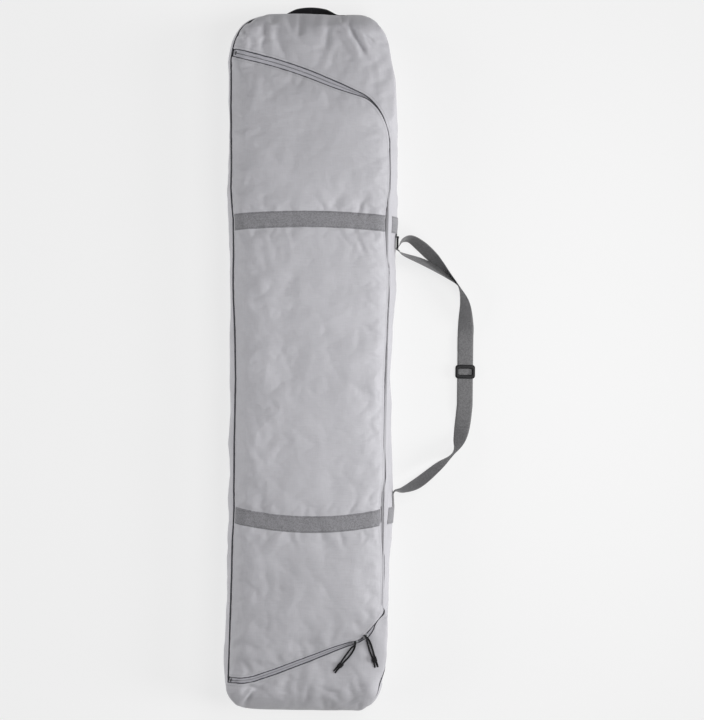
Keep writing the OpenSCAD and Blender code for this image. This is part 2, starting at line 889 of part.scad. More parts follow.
back_panel();
back_seam_binding();
left_gusset();
right_gusset();
end_gusset(true);  // top_gusset
end_gusset(false);  // bottom_gusset
end_panel(true);  // top_panel
end_panel(false);  // bottom_panel
hinge_piping();
end_piping(true);  // top_piping
end_piping(false);  // bottom_piping
zip_facing();
zip_tape(-1);  // fixed_zip_tape
zip_coil(-1);  // fixed_zip_coil
zip_end_stops();
side_band(upper_band);  // upper_side_band
side_band(-lower_band);  // lower_side_band
strap_anchor();
ring_tab();
strap_ring();
strap_lower_flex();
strap_upper_flex();
handle_ends();
handle_flex();
lid_panel();
zip_tape(1);  // lid_zip_tape
zip_coil(1);  // lid_zip_coil
lid_band(upper_band, upper_bow);  // lid_upper_band
lid_band(-lower_band, -lower_bow);  // lid_lower_band
slider(left_way, left_place);  // left_slider
slider(right_way, right_place);  // right_slider
pull_cord(left_pull_line);  // left_pull_cord
pull_knot(left_pull_line);  // left_pull_knot
pull_cord(right_pull_line);  // right_pull_cord
pull_knot(right_pull_line);  // right_pull_knot
shoulder_strap();
strap_return();
strap_adjuster();
adjuster_loop();
haul_handle();
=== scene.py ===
import math

import bpy
import numpy as np
from mathutils import Matrix, Vector


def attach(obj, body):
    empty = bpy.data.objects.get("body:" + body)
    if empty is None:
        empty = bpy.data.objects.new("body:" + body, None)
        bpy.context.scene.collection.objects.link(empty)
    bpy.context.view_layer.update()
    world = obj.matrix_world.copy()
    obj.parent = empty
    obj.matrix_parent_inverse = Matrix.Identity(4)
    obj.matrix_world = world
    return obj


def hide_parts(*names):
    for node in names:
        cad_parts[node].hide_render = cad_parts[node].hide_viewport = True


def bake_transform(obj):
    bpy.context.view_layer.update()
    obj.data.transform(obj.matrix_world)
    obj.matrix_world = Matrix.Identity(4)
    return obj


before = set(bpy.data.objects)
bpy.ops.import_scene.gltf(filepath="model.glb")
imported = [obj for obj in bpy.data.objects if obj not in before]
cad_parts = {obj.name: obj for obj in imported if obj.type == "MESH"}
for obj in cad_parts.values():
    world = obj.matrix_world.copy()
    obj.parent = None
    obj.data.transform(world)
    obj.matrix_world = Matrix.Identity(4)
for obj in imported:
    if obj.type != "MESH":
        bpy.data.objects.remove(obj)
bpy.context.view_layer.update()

MM = 0.001
TURN = 2 * math.pi

# Sizes of the bag, in millimetres, as in the part's source
SIDE_X, END_Y, BULGE = 194.0, 825.0, 9.0
SEAM_X, SEAM_Y = SIDE_X - BULGE, END_Y - BULGE
DEPTH, SEAM_Z, END_Z = 110.0, 90.0, 62.0
TOP_R, BOTTOM_R, FALL = 90.0, 62.0, 52.0
SHOULDER = 35.0
SHOULDER_R = (SHOULDER ** 2 + (DEPTH - SEAM_Z) ** 2) / (2 * (DEPTH - SEAM_Z))
FABRIC, WEBBING, GAP = 2.0, 1.4, 0.3
BAND = 19.0

# The two bands across the lid: place along the bag at its seams, and how far the middle bows
UPPER_BAND, LOWER_BAND = (326, 8), (-360, -19)

# Camera, straight above the bag and turned a little
HEIGHT, ROLL, PIXELS, SENSOR, IMAGE_HEIGHT = 4.0, 0.65, 1662.0, 36, 720
camera = bpy.data.objects.new("camera", bpy.data.cameras.new("camera"))
bpy.context.scene.collection.objects.link(camera)
camera.location = (0.098, 0.0062, HEIGHT)
camera.rotation_euler = (0, 0, math.radians(ROLL))
camera.data.sensor_fit = "VERTICAL"
camera.data.sensor_height = SENSOR
camera.data.lens = PIXELS * SENSOR / IMAGE_HEIGHT
camera.data.clip_end = 50
bpy.context.scene.camera = camera


# ---- materials ----
def material(name, colour, rough, sheen=0.0, spec=0.5, metal=0.0):
    m = bpy.data.materials.new(name)
    m.use_nodes = True
    b = m.node_tree.nodes["Principled BSDF"]
    b.inputs["Base Color"].default_value = (*colour, 1)
    b.inputs["Roughness"].default_value = rough
    b.inputs["Metallic"].default_value = metal
    b.inputs["Specular IOR Level"].default_value = spec
    b.inputs["Sheen Weight"].default_value = sheen
    b.inputs["Sheen Roughness"].default_value = 0.5
    return m


class Nodes:
    """Adds nodes to one material and links them in one line."""

    def __init__(self, m):
        self.tree = m.node_tree
        self.shader = m.node_tree.nodes["Principled BSDF"]

    def add(self, kind, inputs=(), **values):
        n = self.tree.nodes.new(kind)
        for key, value in values.items():
            setattr(n, key, value)
        for key, value in dict(inputs).items():
            if isinstance(value, bpy.types.NodeSocket):
                self.tree.links.new(value, n.inputs[key])
            else:
                n.inputs[key].default_value = value
        return n

    def math(self, operation, a, b=0.0, c=0.0):
        return self.add("ShaderNodeMath", {0: a, 1: b, 2: c}, operation=operation).outputs[0]

    def times(self, a, b):
        return self.math("MULTIPLY", a, b)

    def plus(self, a, b):
        return self.math("ADD", a, b)

    def sine(self, a):
        return self.math("SINE", a)

    def dashes(self, run, rate, share):
        return self.math("LESS_THAN", self.math("FRACT", self.times(run, rate)), share)

    def place(self):
        return self.add("ShaderNodeTexCoord").outputs["Object"]

    def uv(self, name):
        uv = self.add("ShaderNodeUVMap", uv_map=name).outputs["UV"]
        return self.add("ShaderNodeSeparateXYZ", {0: uv}).outputs[:2]

    def scaled(self, vector, x, y, z):
        return self.add("ShaderNodeVectorMath", {0: vector, 1: (x, y, z)}, operation="MULTIPLY").outputs[0]

    def noise(self, vector, scale, detail=2.0, rough=0.5):
        n = self.add("ShaderNodeTexNoise", {"Vector": vector, "Scale": scale, "Detail": detail, "Roughness": rough})
        return n.outputs["Fac"]

    def ramp(self, fac, low, high, to_low=0.0, to_high=1.0):
        n = self.add(
            "ShaderNodeMapRange",
            {"Value": fac, "From Min": low, "From Max": high, "To Min": to_low, "To Max": to_high},
        )
        return n.outputs["Result"]

    def mix(self, fac, low, high):
        """Blends two colours, each a socket or red, green and blue."""
        a, b = (c if isinstance(c, bpy.types.NodeSocket) else (*c, 1) for c in (low, high))
        return self.add("ShaderNodeMix", {"Factor": fac, 6: a, 7: b}, data_type="RGBA").outputs[2]

    def bump(self, height, distance, strength=1.0, below=None):
        inputs = {"Height": height, "Distance": distance, "Strength": strength}
        if below is not None:
            inputs["Normal"] = below
        return self.add("ShaderNodeBump", inputs).outputs["Normal"]

    def out(self, socket, value):
        self.tree.links.new(value, self.shader.inputs[socket])


def shade(colour, k):
    return tuple(c * k for c in colour)


def shell_fabric(name, colour):
    """Plain-woven polyester: fine weave, drawn-out crinkles across the bag and a seam of topstitching by the zip."""
    m = material(name, colour, 0.62, sheen=0.15, spec=0.35)
    n = Nodes(m)
    place = n.place()
    threads = {"Vector": place, "Scale": 210.0}
    weave = n.times(*(n.add("ShaderNodeTexWave", threads, bands_direction=way).outputs["Fac"] for way in "XY"))
    patch = n.ramp(n.noise(place, 7.0), 0.42, 0.62)
    crinkle = n.times(n.noise(n.scaled(place, 14, 130, 60), 1.0, 3.0, 0.55), patch)
    crumpled = n.noise(place, 42.0, 3.0, 0.55)
    slub = n.plus(*(n.noise(n.scaled(place, *stretch), 1.0, 1.0) for stretch in ((40, 700, 300), (700, 40, 40))))
    cloud = n.noise(place, 11.0, 3.0)
    beside, run = n.uv("edge")
    row = n.math("COMPARE", beside, 0.0042, 0.0007)
    stitch = n.times(row, n.dashes(run, 310.0, 0.72))
    tone = n.mix(n.ramp(cloud, 0.3, 0.7), shade(colour, 0.955), shade(colour, 1.045))
    tone = n.mix(n.ramp(slub, 0.75, 1.35, 0.0, 0.22), tone, shade(colour, 0.7))
    n.out("Base Color", n.mix(n.times(stitch, 0.35), tone, shade(colour, 0.6)))
    normal = n.bump(crumpled, 0.0025, 0.35)
    normal = n.bump(crinkle, 0.0018, 0.4, normal)
    normal = n.bump(weave, 0.00025, 0.35, normal)
    n.out("Normal", n.bump(row, 0.0005, 0.5, normal))
    n.out("Roughness", n.ramp(cloud, 0.2, 0.8, 0.56, 0.68))
    return m


def webbing(name, colour, stitch_at=None, sheen=0.2):
    """Woven webbing: cross ribs, lengthwise warp lines, flecks of wear and, where asked, rows of stitches."""
    rib_pitch, warp_pitch, line_pitch = 0.0021, 0.0042, 0.0026
    m = material(name, colour, 0.72, sheen=sheen, spec=0.3)
    n = Nodes(m)
    u, v = n.uv("weave")
    rib = n.sine(n.times(v, TURN / rib_pitch))
    half_turn = n.times(n.math("FLOOR", n.times(u, 1 / line_pitch)), math.pi)
    warp = n.sine(n.plus(n.times(v, TURN / warp_pitch), half_turn))
    line = n.math("ABSOLUTE", n.sine(n.times(u, math.pi / line_pitch)))
    weave = n.plus(n.times(rib, 0.3), n.plus(n.times(warp, 0.4), line))
    worn = n.noise(n.place(), 60.0, 4.0, 0.6)
    fleck = n.noise(n.place(), 330.0, 2.0, 0.7)
    tone = n.mix(n.ramp(weave, -0.6, 1.6), shade(colour, 0.82), shade(colour, 1.12))
    tone = n.mix(n.ramp(worn, 0.45, 0.75, 0.0, 0.25), tone, shade(colour, 1.35))
    tone = n.mix(n.ramp(fleck, 0.42, 0.68, 0.0, 0.5), tone, shade(colour, 1.6))
    tone = n.mix(n.ramp(fleck, 0.5, 0.3, 0.0, 0.5), tone, shade(colour, 0.6))
    height = weave
    if stitch_at:
        row = n.math("COMPARE", n.math("ABSOLUTE", u), stitch_at, 0.0006)
        stitch = n.times(row, n.dashes(v, 300.0, 0.7))
        tone = n.mix(n.times(stitch, 0.6), tone, shade(colour, 0.5))
        height = n.math("SUBTRACT", weave, n.times(row, 1.2))
    n.out("Base Color", tone)
    n.out("Normal", n.bump(height, 0.0004, 0.7))
    n.out("Roughness", n.ramp(worn, 0.2, 0.8, 0.66, 0.8))
    return m


def zip_fabric(name, colour, painted_shade_colour):
    """Zip tape: a fine twill, with painted shade where it runs under the fabric's edge and along the slit down the
    middle, and the ridges of the coil behind it.
    """
    tooth_pitch = 0.0026
    m = material(name, colour, 0.6, sheen=0.1, spec=0.4)
    n = Nodes(m)
    u, v = n.uv("weave")
    u = n.math("ABSOLUTE", u)
    # Painted shade: where the tape runs under the fabric's folded edge it takes the shade colour, standing in for that
    # edge's shadow
    rim = n.ramp(n.uv("edge")[0], 0.0040, 0.0030)
    # Painted shade along the slit between the two halves of the tape
    slit = n.ramp(u, 0.0012, 0.0006)
    twill = n.sine(n.plus(n.times(u, 4200.0), n.times(v, 3300.0)))
    tooth = n.times(n.sine(n.times(v, TURN / tooth_pitch)), n.ramp(u, 0.0036, 0.0028))
    cloud = n.noise(n.place(), 25.0)
    tone = n.mix(n.ramp(cloud, 0.3, 0.7), shade(colour, 0.94), shade(colour, 1.06))
    tone = n.mix(n.times(slit, 0.35), tone, painted_shade_colour)
    n.out("Base Color", n.mix(rim, tone, painted_shade_colour))
    n.out("Normal", n.bump(n.plus(n.times(twill, 0.2), tooth), 0.0004, 0.6))
    return m


def cord_fabric(name, colour, scale):
    """Braided cord: two sets of strands that cross."""
    strands = 4
    m = material(name, colour, 0.7, sheen=0.02, spec=0.25)
    n = Nodes(m)
    u, v = n.uv("weave")
    around, along = n.times(u, TURN * strands), n.times(v, scale)
    braid = n.math("MAXIMUM", n.sine(n.plus(around, along)), n.sine(n.math("SUBTRACT", around, along)))
    n.out("Base Color", n.mix(n.ramp(braid, -0.5, 1.0), shade(colour, 0.6), shade(colour, 1.5)))
    n.out("Normal", n.bump(braid, 0.0003, 0.7))
    return m


def moulded(name, colour, rough, grain, metal=0.0, spec=0.5):
    """Plastic or cast metal with a fine grain, a little worn."""
    m = material(name, colour, rough, spec=spec, metal=metal)
    n = Nodes(m)
    fine = n.noise(n.place(), grain, 3.0, 0.6)
    worn = n.noise(n.place(), 180.0, 3.0)
    n.out("Base Color", n.mix(n.ramp(worn, 0.35, 0.7), shade(colour, 0.85), shade(colour, 1.2)))
    n.out("Roughness", n.ramp(worn, 0.3, 0.7, rough * 0.85, rough * 1.2))
    n.out("Normal", n.bump(fine, 0.0001, 0.4))
    return m


GREY = (0.452, 0.447, 0.474)
SHELL = shell_fabric("shell_cloth", GREY)
LINING = shell_fabric("lining_cloth", shade(GREY, 0.8))
PIPING = cord_fabric("piping_cloth", (0.060, 0.060, 0.068), 2600.0)
BAND_CLOTH = webbing("band_cloth", (0.205, 0.203, 0.216), 0.0165)
STRAP_CLOTH = webbing("strap_cloth", (0.150, 0.149, 0.153))
HANDLE_CLOTH = webbing("handle_cloth", (0.008, 0.008, 0.010), 0.0095, 0.03)
# The second colour is painted shade, for the tape's edges under the fabric and for its middle slit
TAPE = zip_fabric("zip_cloth", (0.40, 0.396, 0.43), (0.060, 0.060, 0.070))
COIL = moulded("zip_coil_plastic", (0.20, 0.20, 0.215), 0.4, 900.0)
METAL = moulded("slider_metal_cast", (0.55, 0.56, 0.58), 0.35, 700.0, metal=1.0)
STOP_METAL = moulded("zip_stop_metal", (0.09, 0.09, 0.095), 0.5, 700.0, metal=1.0)
BLACK = moulded("black_moulded", (0.008, 0.008, 0.009), 0.42, 1400.0, spec=0.2)
CORD = cord_fabric("pull_braid", (0.006, 0.006, 0.007), 1900.0)


# ---- meshes ----
def mesh_object(name, verts, faces, mats, uv=None, uv_name="weave", face_mat=None):
    me = bpy.data.meshes.new(name)
    me.from_pydata((verts.reshape(-1, 3) * MM).tolist(), [], faces if isinstance(faces, list) else faces.tolist())
    for m in mats if isinstance(mats, list) else [mats]:
        me.materials.append(m)
    if face_mat is not None:
        me.polygons.foreach_set("material_index", face_mat.astype(np.int32))
    me.polygons.foreach_set("use_smooth", np.ones(len(me.polygons), bool))
    me.update()
    o = bpy.data.objects.new(name, me)
    bpy.context.scene.collection.objects.link(o)
    if uv is not None:
        add_uv(o, uv_name, uv)
    return o


def add_uv(o, name, uv):
    """One place per vertex, in millimetres."""
    layer = o.data.uv_layers.new(name=name)
    loops = np.zeros(len(o.data.loops), np.int32)
    o.data.loops.foreach_get("vertex_index", loops)
    layer.data.foreach_set("uv", (uv.reshape(-1, 2)[loops] * MM).astype(np.float32).ravel())


def unit(v):
    return v / np.maximum(np.linalg.norm(v, axis=-1, keepdims=True), 1e-9)


def tangents(line):
    return unit(np.gradient(line, axis=0))


def rise(v, over):
    """Nothing up to 0, one from the given length on, and straight in between."""
    return np.clip(v / over, 0, 1)


def bell(d, width):
    return np.exp(-(d / width) ** 2)


def floats(*values):
    """Numbers and arrays brought to one shape."""
    return np.broadcast_arrays(*(np.asarray(v, float) for v in values))


def cols(*values):
    """Values side by side, as the columns of one table."""
    return np.stack(floats(*values), -1)


def vertices(o):
    return np.array([v.co for v in o.data.vertices]) / MM


def grid_quads(n, m, start=0):
    i, j = np.meshgrid(np.arange(n - 1), np.arange(m - 1), indexing="ij")
    a = start + i * m + j
    return np.stack([a, a + m, a + m + 1, a + 1], -1).reshape(-1, 4)


def grid_normals(p):
    return unit(np.cross(np.gradient(p, axis=0), np.gradient(p, axis=1)))


def border(n, m):
    """Indices round the edge of a grid, counter-clockwise."""
    return np.concatenate([
        np.arange(n) * m,
        (n - 1) * m + np.arange(1, m),
        np.arange(n - 2, -1, -1) * m + m - 1,
        np.arange(m - 2, 0, -1),
    ])


def slab(name, p, thick, mats, edge=None, rim_steps=4):
    """A sheet of fabric with a rounded edge all round: outer face, rim and inner face."""
    n, m = p.shape[:2]
    norm = grid_normals(p)
    top = p.reshape(-1, 3)
    bottom = (p - norm * thick).reshape(-1, 3)
    loop = border(n, m)
    nb, pb = norm.reshape(-1, 3)[loop], top[loop]
    out = unit(np.cross(np.roll(pb, -1, 0) - np.roll(pb, 1, 0), nb))
    rims, rings = [], [loop]
    for k in range(1, rim_steps):
        a = math.pi * k / rim_steps
        rims.append(pb - nb * thick / 2 * (1 - math.cos(a)) + out * thick / 2 * math.sin(a))
        rings.append(2 * n * m + (k - 1) * len(loop) + np.arange(len(loop)))
    rings.append(n * m + loop)
    quads = [grid_quads(n, m), grid_quads(n, m, n * m)[:, ::-1]]
    for a, b in zip(rings[:-1], rings[1:]):
        quads.append(np.stack([a, b, np.roll(b, -1), np.roll(a, -1)], -1))
    faces = np.concatenate(quads)
    inner = np.zeros(len(faces), int)
    if isinstance(mats, list):
        count = len(quads[0])
        inner[count:2 * count] = 1
    uv = None
    if edge is not None:
        flat = edge.reshape(-1, 2)
        uv = np.concatenate([flat, flat, *[flat[loop]] * (rim_steps - 1)])
    return mesh_object(name, np.concatenate([top, bottom, *rims]), faces, mats, uv, "edge", inner)


def frames(line):
    """Tangents, and two directions square to them, along a line."""
    t = tangents(line)
    a = unit(np.cross(t, (0, 0, 1.0)))
    return t, a, np.cross(a, t)


def length_along(line):
    return np.concatenate([[0], np.cumsum(np.linalg.norm(np.diff(line, axis=0), axis=1))])


def tube(name, line, radius, mat, sides=10):
    """A round cord along a line, with rounded ends."""
    t, a, b = frames(line)
    bend = np.array([0.5, 1.0, 1.4])
    reach, thin = radius * np.sin(bend)[:, None], radius * np.cos(bend)
    thick = np.concatenate([thin[::-1], np.full(len(line), radius), thin])
    line = np.concatenate([line[0] - t[0] * reach[::-1], line, line[-1] + t[-1] * reach])
    a, b = (np.concatenate([[v[0]] * 3, v, [v[-1]] * 3]) for v in (a, b))
    w = np.linspace(0, TURN, sides + 1)
    round_it = np.cos(w)[:, None] * a[:, None] + np.sin(w)[:, None] * b[:, None]
    verts = line[:, None] + thick[:, None, None] * round_it
    faces = grid_quads(len(line), sides + 1)[:, ::-1].tolist()
    faces.append(list(range(sides)))
    faces.append([(len(line) - 1) * (sides + 1) + k for k in range(sides)][::-1])
    v, u = np.meshgrid(length_along(line), np.linspace(0, 1000, sides + 1), indexing="ij")
    return mesh_object(name, verts, faces, mat, cols(u, v))


def ring_quads(n, k, steps):
    """Faces from ring to ring of k points; as many steps as rings where the last ring meets the first."""
    i, j = np.meshgrid(np.arange(steps), np.arange(k), indexing="ij")
    a, b = i * k + j, i * k + (j + 1) % k
    return np.stack([a, b, (b + k) % (n * k), (a + k) % (n * k)], -1).reshape(-1, 4)


def strip(name, middle, across, half, thick, mat, out=None, run=None, columns=9):
    """Flat webbing along a line: a thin rounded section, with the weave's own coordinates."""
    across = np.broadcast_to(np.asarray(across, float), middle.shape)
    if out is None:
        out = np.cross(tangents(middle), across)
    u = np.linspace(-1, 1, columns)
    edge = (np.sqrt(np.maximum(0, 1 - np.abs(u) ** 14)) * 0.9 + 0.1) * thick / 2
    section = np.concatenate([cols(u * half, edge), cols(u[::-1] * half, -edge)])
    n, k = len(middle), len(section)
    p = middle[:, None] + section[None, :, 0, None] * across[:, None] + section[None, :, 1, None] * out[:, None]
    faces = ring_quads(n, k, n - 1).tolist()
    faces.append(list(range(k))[::-1])
    faces.append([(n - 1) * k + q for q in range(k)])
    v, u = np.meshgrid(length_along(middle) if run is None else run, section[:, 0], indexing="ij")
    return mesh_object(name, p, faces, mat, cols(u, v))


def smooth_curve(points, steps):
    """A smooth line through points."""
    p = np.asarray(points, float)
    ext = np.concatenate([p[:1], p, p[-1:]])
    rows = []
    for i in range(len(p) - 1):
        a, b, c, d = ext[i:i + 4]
        for k in range(steps):
            u = k / steps
            square, cube = a - 2.5 * b + 2 * c - d / 2, 1.5 * b - a / 2 - 1.5 * c + d / 2
            rows.append(b + u * (c - a) / 2 + u ** 2 * square + u ** 3 * cube)
    return np.array(rows + [p[-1]])


def resample(line, step):
    run = length_along(line)
    s = np.linspace(0, run[-1], max(2, int(round(run[-1] / step)) + 1))
    return cols(*(np.interp(s, run, column) for column in line.T))


def nearest(p, line):
    """Distance from each point to a line, and how far along the line the nearest place is."""
    run = length_along(line)
    best, place = np.full(len(p), 1e9), np.zeros(len(p))
    for a, d, start, step in zip(line, np.diff(line, axis=0), run, np.diff(run)):
        t = np.clip(((p - a) @ d) / (d @ d), 0, 1)
        away = np.linalg.norm(p - a - t[:, None] * d, axis=1)
        closer = away < best
        best[closer] = away[closer]
        place[closer] = start + t[closer] * step
    return best, place


# ---- shape of the bag ----
def round_corner(beyond, r):
    """How far a rounded corner still reaches, at a place beyond its start."""
    return np.where(beyond <= 0, r, np.sqrt(np.maximum(0, r ** 2 - np.maximum(beyond, 0) ** 2)))


def outline_half(y, inset):
    r = np.where(y > 0, TOP_R, BOTTOM_R)
    return SIDE_X - r + round_corner(np.abs(y) - END_Y + r, r - inset)


def outline_end(x, inset, r):
    return END_Y - r + round_corner(np.abs(x) - SIDE_X + r, r - inset)


def end_fall(y):
    return rise(np.abs(y) - SEAM_Y + FALL, FALL) ** 2


def seam_height(y):
    return SEAM_Z - end_fall(y) * (SEAM_Z - END_Z)


def seam_inset(x, y):
    """Distance inside the front seam and the direction out of it."""
    r = np.where(y > 0, TOP_R, BOTTOM_R)
    qx, qy = np.abs(x) - (SIDE_X - r), np.abs(y) - (END_Y - r)
    corner = (qx > 0) & (qy > 0)
    reach = np.hypot(np.maximum(qx, 0), np.maximum(qy, 0))
    side = (SEAM_X - np.abs(x)) < (SEAM_Y - np.abs(y))
    d = np.where(corner, r - BULGE - reach, np.minimum(SEAM_X - np.abs(x), SEAM_Y - np.abs(y)))
    safe = np.maximum(reach, 1e-6)
    nx = np.where(corner, qx / safe, np.where(side, 1, 0)) * np.sign(x)
    ny = np.where(corner, qy / safe, np.where(side, 0, 1)) * np.sign(y)
    return d, nx, ny


def rounded(points, radii, steps=16):
    """A line through points, with its corners rounded off."""
    line = []
    p = np.asarray(points, float)
    for i, r in enumerate(radii):
        if r == 0:
            line.append(p[i])
            continue
        a, b = unit(p[i] - p[i - 1]), unit(p[i + 1] - p[i])
        turn = math.acos(a @ b)
        out = np.sign(a[0] * b[1] - a[1] * b[0]) * np.array([a[1], -a[0]])
        start = p[i] - a * r * math.tan(turn / 2)
        for k in range(steps + 1):
            w = turn * k / steps
            line.append(start + r * (math.sin(w) * a - (1 - math.cos(w)) * out))
    return np.array(line)


ZIP_CORNERS = [(-185, 730), (-61, 703), (178, 601), (178, -590), (127, -650), (-147, -749), (-185, -751)]
ZIP_RADII = [0, 900, 125, 40, 30, 150, 0]
ZIP = resample(rounded(ZIP_CORNERS, ZIP_RADII), 4.0)

# The zip sags between its ends: place across the bag, then how far it lies off its straight line
TOP_SAG = [-185, -160, -135, -20, 30, 76, 105, 130], [-4, -5.7, -6.3, -6.7, -6, -4.5, -3, 0]
BOTTOM_SAG = [-185, -166, -142, -119, -72, -25, 22, 69, 95, 110], [3, 3, 0, -2.5, -2.8, -1.6, -0.3, 1.5, 1.5, 0]
ZIP[:, 1] += np.where(ZIP[:, 1] > 0, np.interp(ZIP[:, 0], *TOP_SAG), np.interp(ZIP[:, 0], *BOTTOM_SAG))
ZIP_RUN = length_along(ZIP)
STRAIGHT = ZIP[:, 0].max() - 0.05

# Half its opening, which gapes at the ends and draws shut along the side: place, then width
TOP_GAPE = [-185, -150, 0, 53, 76, 100, 124, 147, 170], [10.6, 11.1, 10.6, 9.8, 8.6, 6.6, 4.6, 2.8, 1.8]
BOTTOM_GAPE = [-185, -100, 0, 60, 90, 112, 135, 150, 170], [7.8, 8, 7.8, 7, 6, 5, 4, 2.6, 1.6]
SIDE_GAPE = (
    [-570, -500, -455, -420, -380, -340, -305, -270, -150, -10, 35, 260, 300, 335, 375, 490, 525, 560],
    [1.4, 2.3, 2.3, 1.6, 2.6, 2.6, 1.5, 2.2, 2.5, 2.2, 1.5, 1.3, 2.2, 2.6, 1.4, 1.4, 2.2, 1.6],
)
AT_TOP, AT_BOTTOM = ZIP[:, 1] > 560, ZIP[:, 1] < -575
OPENING = np.interp(ZIP[:, 1], *SIDE_GAPE)
OPENING[AT_TOP] = np.interp(ZIP[AT_TOP, 0], *TOP_GAPE)
OPENING[AT_BOTTOM] = np.interp(ZIP[AT_BOTTOM, 0], *BOTTOM_GAPE)

# Beside the right slider the fixed edge stands back, so that the slider can run on to the corner
ROOM = 6.0 * np.exp(-((ZIP[:, 0] - 145) / 12.5) ** 4) * AT_BOTTOM


def zip_offset(distance):
    """The zip line moved towards the lid, by the distance seen along the fabric."""
    t = tangents(ZIP)
    inwards = cols(t[:, 1], -t[:, 0])
    run = np.clip(np.abs(ZIP[:, 0]) - SEAM_X + SHOULDER, 0, SHOULDER)
    shown = 1 - np.abs(inwards[:, 0]) * (1 - np.sqrt(1 - (run / SHOULDER_R) ** 2))
    return ZIP + inwards * (distance * shown)[:, None]


def zip_distance(x, y):
    """Distance to the zip line, the place along it and half the opening there."""
    best, place = nearest(cols(x, y).reshape(-1, 2), ZIP)
    return [v.reshape(x.shape) for v in (best, place, np.interp(place, ZIP_RUN, OPENING))]


# Folds of the front: points along each, its width and its depth
FOLDS = [
    ([(86, 802), (100, 774), (119, 737), (129, 714)], 6, -9),
    ([(69, 797), (81, 769), (98, 737), (112, 713)], 7, 5),
    ([(69, 811), (76, 790)], 4, -5),
    ([(-29, 814), (-31, 782), (-35, 749)], 6, -2.5),
    ([(6, 815), (4, 777), (0, 740)], 7, -3),
    ([(36, 815), (37, 778), (33, 736)], 6, -3),
    ([(-160, 780), (-157, 768), (-153, 757)], 3.5, -4.5),
    ([(-111, 799), (-115, 767), (-124, 738)], 7, -2),
    ([(124, 763), (140, 758), (154, 747)], 2.6, -3),
    ([(143, 737), (152, 700), (155, 662)], 7, 2.5),
    ([(-31, 407), (-3, 393), (16, 375), (26, 352)], 8, -3.6),
    ([(21, 373), (28, 361), (35, 352)], 4, -3),
    ([(112, 372), (115, 351)], 4, -2.6),
    ([(64, 308), (76, 292), (90, 273)], 5, -4),
    ([(104, 304), (114, 278), (128, 243)], 5, -4.5),
    ([(12, 307), (15, 286), (20, 258)], 6, 3),
    ([(-161, 305), (-151, 282), (-139, 256)], 6, -2.2),
    ([(-110, -350), (-101, -338), (-89, -324)], 4, -2.6),
    ([(40, -353), (51, -338), (63, -322)], 4, -2.6),
    ([(96, -350), (105, -338), (114, -321)], 4, -2.6),
    ([(-44, -396), (-37, -417), (-24, -445)], 5, -2),
    ([(73, -392), (80, -415), (93, -446)], 5, -2.2),
    ([(15, -273), (67, -277), (123, -288)], 6, -1.6),
    ([(-156, -777), (-133, -765), (-105, -769)], 5, -4.2),
    ([(-144, -800), (-135, -786), (-123, -771)], 4, -3.2),
    ([(27, -767), (59, -769), (95, -780)], 6, -2.2),
    ([(74, -804), (109, -794), (146, -780)], 2.6, -2.2),
]
FOLDS = [(smooth_curve(points, 6), width, depth) for points, width, depth in FOLDS]


def folds(x, y):
    """Height of the sewn-in folds, each a crease with a soft ridge beside it."""
    total = np.zeros(x.shape)
    for line, width, depth in FOLDS:
        lo, hi = line.min(0) - 5 * width, line.max(0) + 5 * width
        near = (x > lo[0]) & (x < hi[0]) & (y > lo[1]) & (y < hi[1])
        if not near.any():
            continue
        best, place = nearest(cols(x[near], y[near]), line)
        place = np.clip(place / length_along(line)[-1], 0.02, 0.98)
        crease = np.exp(-np.sqrt(best ** 2 + 1.5) / width)
        ridge = bell(best - 2.2 * width, width)
        total[near] += depth * np.sin(np.pi * place) ** 0.7 * (crease - 0.35 * ridge)
    return total


def waves(x, y, seed, scale):
    """A smooth irregular surface between about -1 and 1."""
    rng = np.random.default_rng(seed)
    total = np.zeros(np.broadcast(x, y).shape)
    for k in range(14):
        w = rng.uniform(0, TURN)
        f = TURN * (rng.uniform(0.5, 1.6) / scale)
        total += math.cos(k) * np.sin(f * (x * math.cos(w) + y * math.sin(w)) + rng.uniform(0, 6.28))
    return total / 4


def noise(x, y, seed):
    """Gradient noise, about -0.7 to 0.7, with cells one unit across."""
    turn = np.random.default_rng(seed).uniform(0, TURN, (64, 64))
    x, y = floats(x, y)
    i, j = np.floor(x).astype(int), np.floor(y).astype(int)
    a, b = x - i, y - j

    def corner(di, dj):
        w = turn[(i + di) % 64, (j + dj) % 64]
        return np.cos(w) * (a - di) + np.sin(w) * (b - dj)

    u, v = a ** 3 * (a * (6 * a - 15) + 10), b ** 3 * (b * (6 * b - 15) + 10)
    low = corner(0, 0) * (1 - u) + corner(1, 0) * u
    high = corner(0, 1) * (1 - u) + corner(1, 1) * u
    return low * (1 - v) + high * v


def crumple(x, y):
    """Crisp creases of a coated fabric: broad facets, then smaller ones, with fine crinkles across the bag."""
    w = 34 * noise(x / 80, y / 95, 5)
    broad = 0.25 - np.abs(noise((x + w) / 105, (y - w) / 150, 1))
    middle = np.abs(noise((x - w) / 52, (y + w) / 60, 2)) - 0.25
    small = 0.2 - np.abs(noise((x + 0.5 * w) / 26, (y - 0.4 * w) / 19, 3))
    fine = 0.2 - np.abs(noise(x / 30, (y + 0.2 * w) / 8, 4))
    return 13.0 * broad + 7.5 * middle + 2.5 * small + 0.45 * fine


